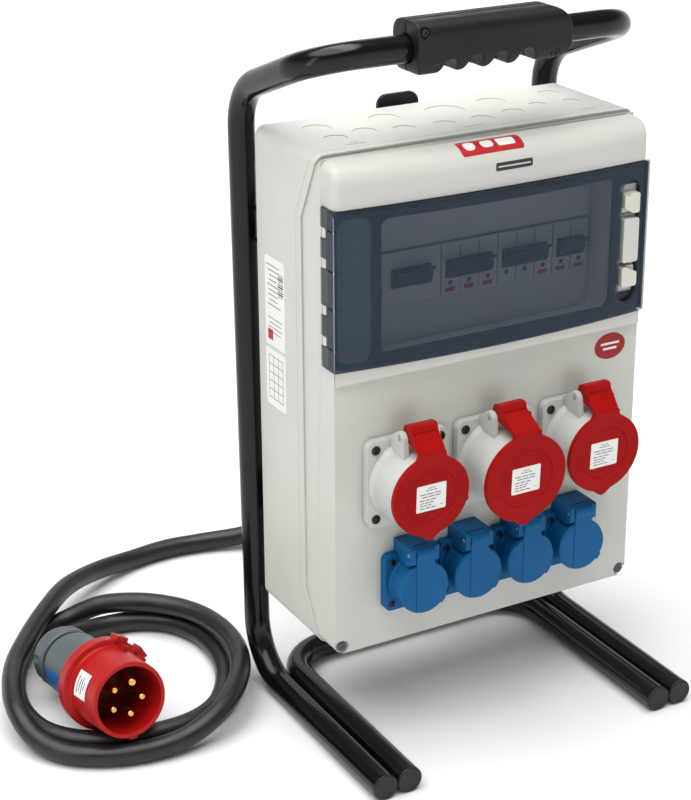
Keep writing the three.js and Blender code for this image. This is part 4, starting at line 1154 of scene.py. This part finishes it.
def household(number, x):
    """A blue household socket."""
    at = BODY @ Matrix.Translation((x, 0, HOUSEHOLD_Z))
    pin_y, pin_z = -24.5, 30.8
    half, face_r, front = 8.2, 21.4, -29.4  # the lid's raised face and the arm in it
    name = f"household_{number}"
    flange = prism(rect(-25, 25, -25, 25, 5.5), "y", -8, -0.3, at)
    barrel = turned([
        (0, 32), (21.5, 32), (21.5, -4), (22.4, -6), (22.4, -9.5, 1), (21.5, -11, 1),
        (21.5, -24, 0.6), (0, -24),
    ], 4, at, steps=72)
    top = pin_z + 6
    ear = [(-0.3, 20), (pin_y + 1.2, 20, 0.6), (pin_y - 4.2, 23.5, 0.8), (pin_y - 4.2, top, 1.8),
           (-0.3, top)]
    ears = [prism(fillet(ear, 0, 4), "x", a, b, at) for a, b in ((8.6, 13), (-13, -8.6))]
    bridge = cut(block(-9, 9, pin_y + 0.5, -0.3, 20, top, at),
                 prism(circle(6.6, pin_y, pin_z, 48), "x", -8.7, 8.7, at))
    housing = join(flange, barrel, bridge, *ears)
    cut(housing,
        lathe([(0, -30), (19.6, -30), (19.6, 0), (0, 0)], at, steps=72),
        prism(circle(2.7, -9.5, 0, 24), "y", -5, 16, at),
        prism(circle(2.7, 9.5, 0, 24), "y", -5, 16, at),
        prism(circle(1.5, pin_y, pin_z, 20), "x", -20, 20, at))
    piece(housing, f"{name}_base", BLUE, nodes=[f"{name}_housing"], bevel=0.5)
    rod = join(prism(circle(1.35, pin_y, pin_z, 20), "x", -13.4, 13.4, at),
               *[prism(circle(1.9, pin_y, pin_z, 20), "x", a, b, at)
                 for a, b in ((-13.7, -13.1), (13.1, 13.7))])
    piece(rod, f"{name}_axle", STEEL, nodes=[f"{name}_pin"], bevel=0.3)
    screws = [screw_head(a, b, 2.7, -8, at) for a in (-19, 19) for b in (-19, 19)]
    piece(gather(*screws), f"{name}_screws", SCREW, bevel=0.12)
    disc = turned([
        (0, -24.3), (22.4, -24.3, 0.5), (22.5, -27.5, 1.2), (21, -28.8, 1.2), (0, -28.9),
    ], 4, at, steps=72)
    arm = [
        (front, -10, 0), (front, pin_z + 1.5, 2.5), (-27.6, pin_z + 5, 1.5),
        (pin_y, pin_z + 6.05, 0.5), (pin_y + 2, pin_z, 1), (-26.5, pin_z - 6, 2), (-26, -10),
    ]
    start = math.asin(half / face_r)
    angles = [start + math.pi * k / 40 for k in range(1, 40)]
    face = [(half, 24), *[(face_r * math.sin(a), face_r * math.cos(a)) for a in angles],
            (-half, -face_r * math.cos(start)), (-half, 24)]
    tab = at @ Matrix.Rotation(math.radians(-50), 4, "Y")
    lid = join(disc, prism(fillet(arm, 0, 4), "x", -half, half, at),
               prism(circle(6.1, pin_y, pin_z, 48), "x", -half, half, at),
               prism(face, "y", front, -26, at),
               block(-3.2, 3.2, -28.4, -24.8, -23.9, -18, tab))
    cut(lid, prism(circle(1.5, pin_y, pin_z, 20), "x", -20, 20, at))
    body = f"{name}_lid"
    piece(lid, f"{name}_cap", BLUE, body=body, nodes=[body], bevel=0.5)


# ---- studio
FLOOR_HALF = 40.0
AIM = Vector((0, 0, 0.3))


def studio():
    """A pale floor, a white sky that is dimmer overhead, a soft sun and three soft lamps."""
    plane = bpy.data.meshes.new("floor")
    low, high = -FLOOR_HALF, FLOOR_HALF
    corners = [(low, low, 0), (high, low, 0), (high, high, 0), (low, high, 0)]
    plane.from_pydata(corners, [], [(0, 1, 2, 3)])
    floor = linked("floor", plane)
    floor.location.z = -0.0002
    pale = bpy.data.materials.new("floor_paper")
    pale.use_nodes = True
    shader = pale.node_tree.nodes["Principled BSDF"]
    shader.inputs["Base Color"].default_value = (0.77, 0.77, 0.77, 1)
    shader.inputs["Roughness"].default_value = 0.9
    shader.inputs["Specular IOR Level"].default_value = 0.1
    plane.materials.append(pale)
    world = bpy.data.worlds.new("studio")
    SCENE.world = world
    world.use_nodes = True
    nodes, links = world.node_tree.nodes, world.node_tree.links
    nodes["Background"].inputs["Color"].default_value = (1, 1, 1, 1)
    height = nodes.new("ShaderNodeSeparateXYZ")
    links.new(nodes.new("ShaderNodeTexCoord").outputs["Generated"], height.inputs[0])
    falloff = nodes.new("ShaderNodeMapRange")
    for socket, value in zip(falloff.inputs[1:5], (0.1, 0.4, 1.0, 0.2)):
        socket.default_value = value
    links.new(height.outputs["Z"], falloff.inputs[0])
    links.new(falloff.outputs[0], nodes["Background"].inputs["Strength"])
    sun = bpy.data.lights.new("overhead", "SUN")
    sun.energy = 3.9
    sun.angle = math.radians(70)
    overhead = linked("overhead", sun)
    overhead.rotation_euler = Vector((0.18, 0.06, -1)).to_track_quat("-Z", "Y").to_euler()

    def lamp(name, where, size_x, size_y, power):
        data = bpy.data.lights.new(name, "AREA")
        data.shape = "RECTANGLE"
        data.size, data.size_y = size_x, size_y
        data.energy = power
        light = linked(name, data)
        light.location = where
        light.rotation_euler = (AIM - Vector(where)).to_track_quat("-Z", "Y").to_euler()

    lamp("top", (-0.05, 0.0, 1.3), 0.9, 0.3, 2.2)
    lamp("left", (-1.9, -0.5, 0.9), 0.25, 1.6, 4)
    lamp("back", (0.6, 2.2, 1.5), 1.6, 1.2, 5)


supply_lead()
gland()
stand()
grip()
rails_and_hook()
stickers(enclosure())
door()
breakers()
for number, (x, lid_radius, front) in enumerate(INDUSTRIALS, 1):
    industrial(number, x, lid_radius, front)
for number, x in enumerate(HOUSEHOLDS, 1):
    household(number, x)
studio()
SCENE.view_settings.view_transform = "Standard"
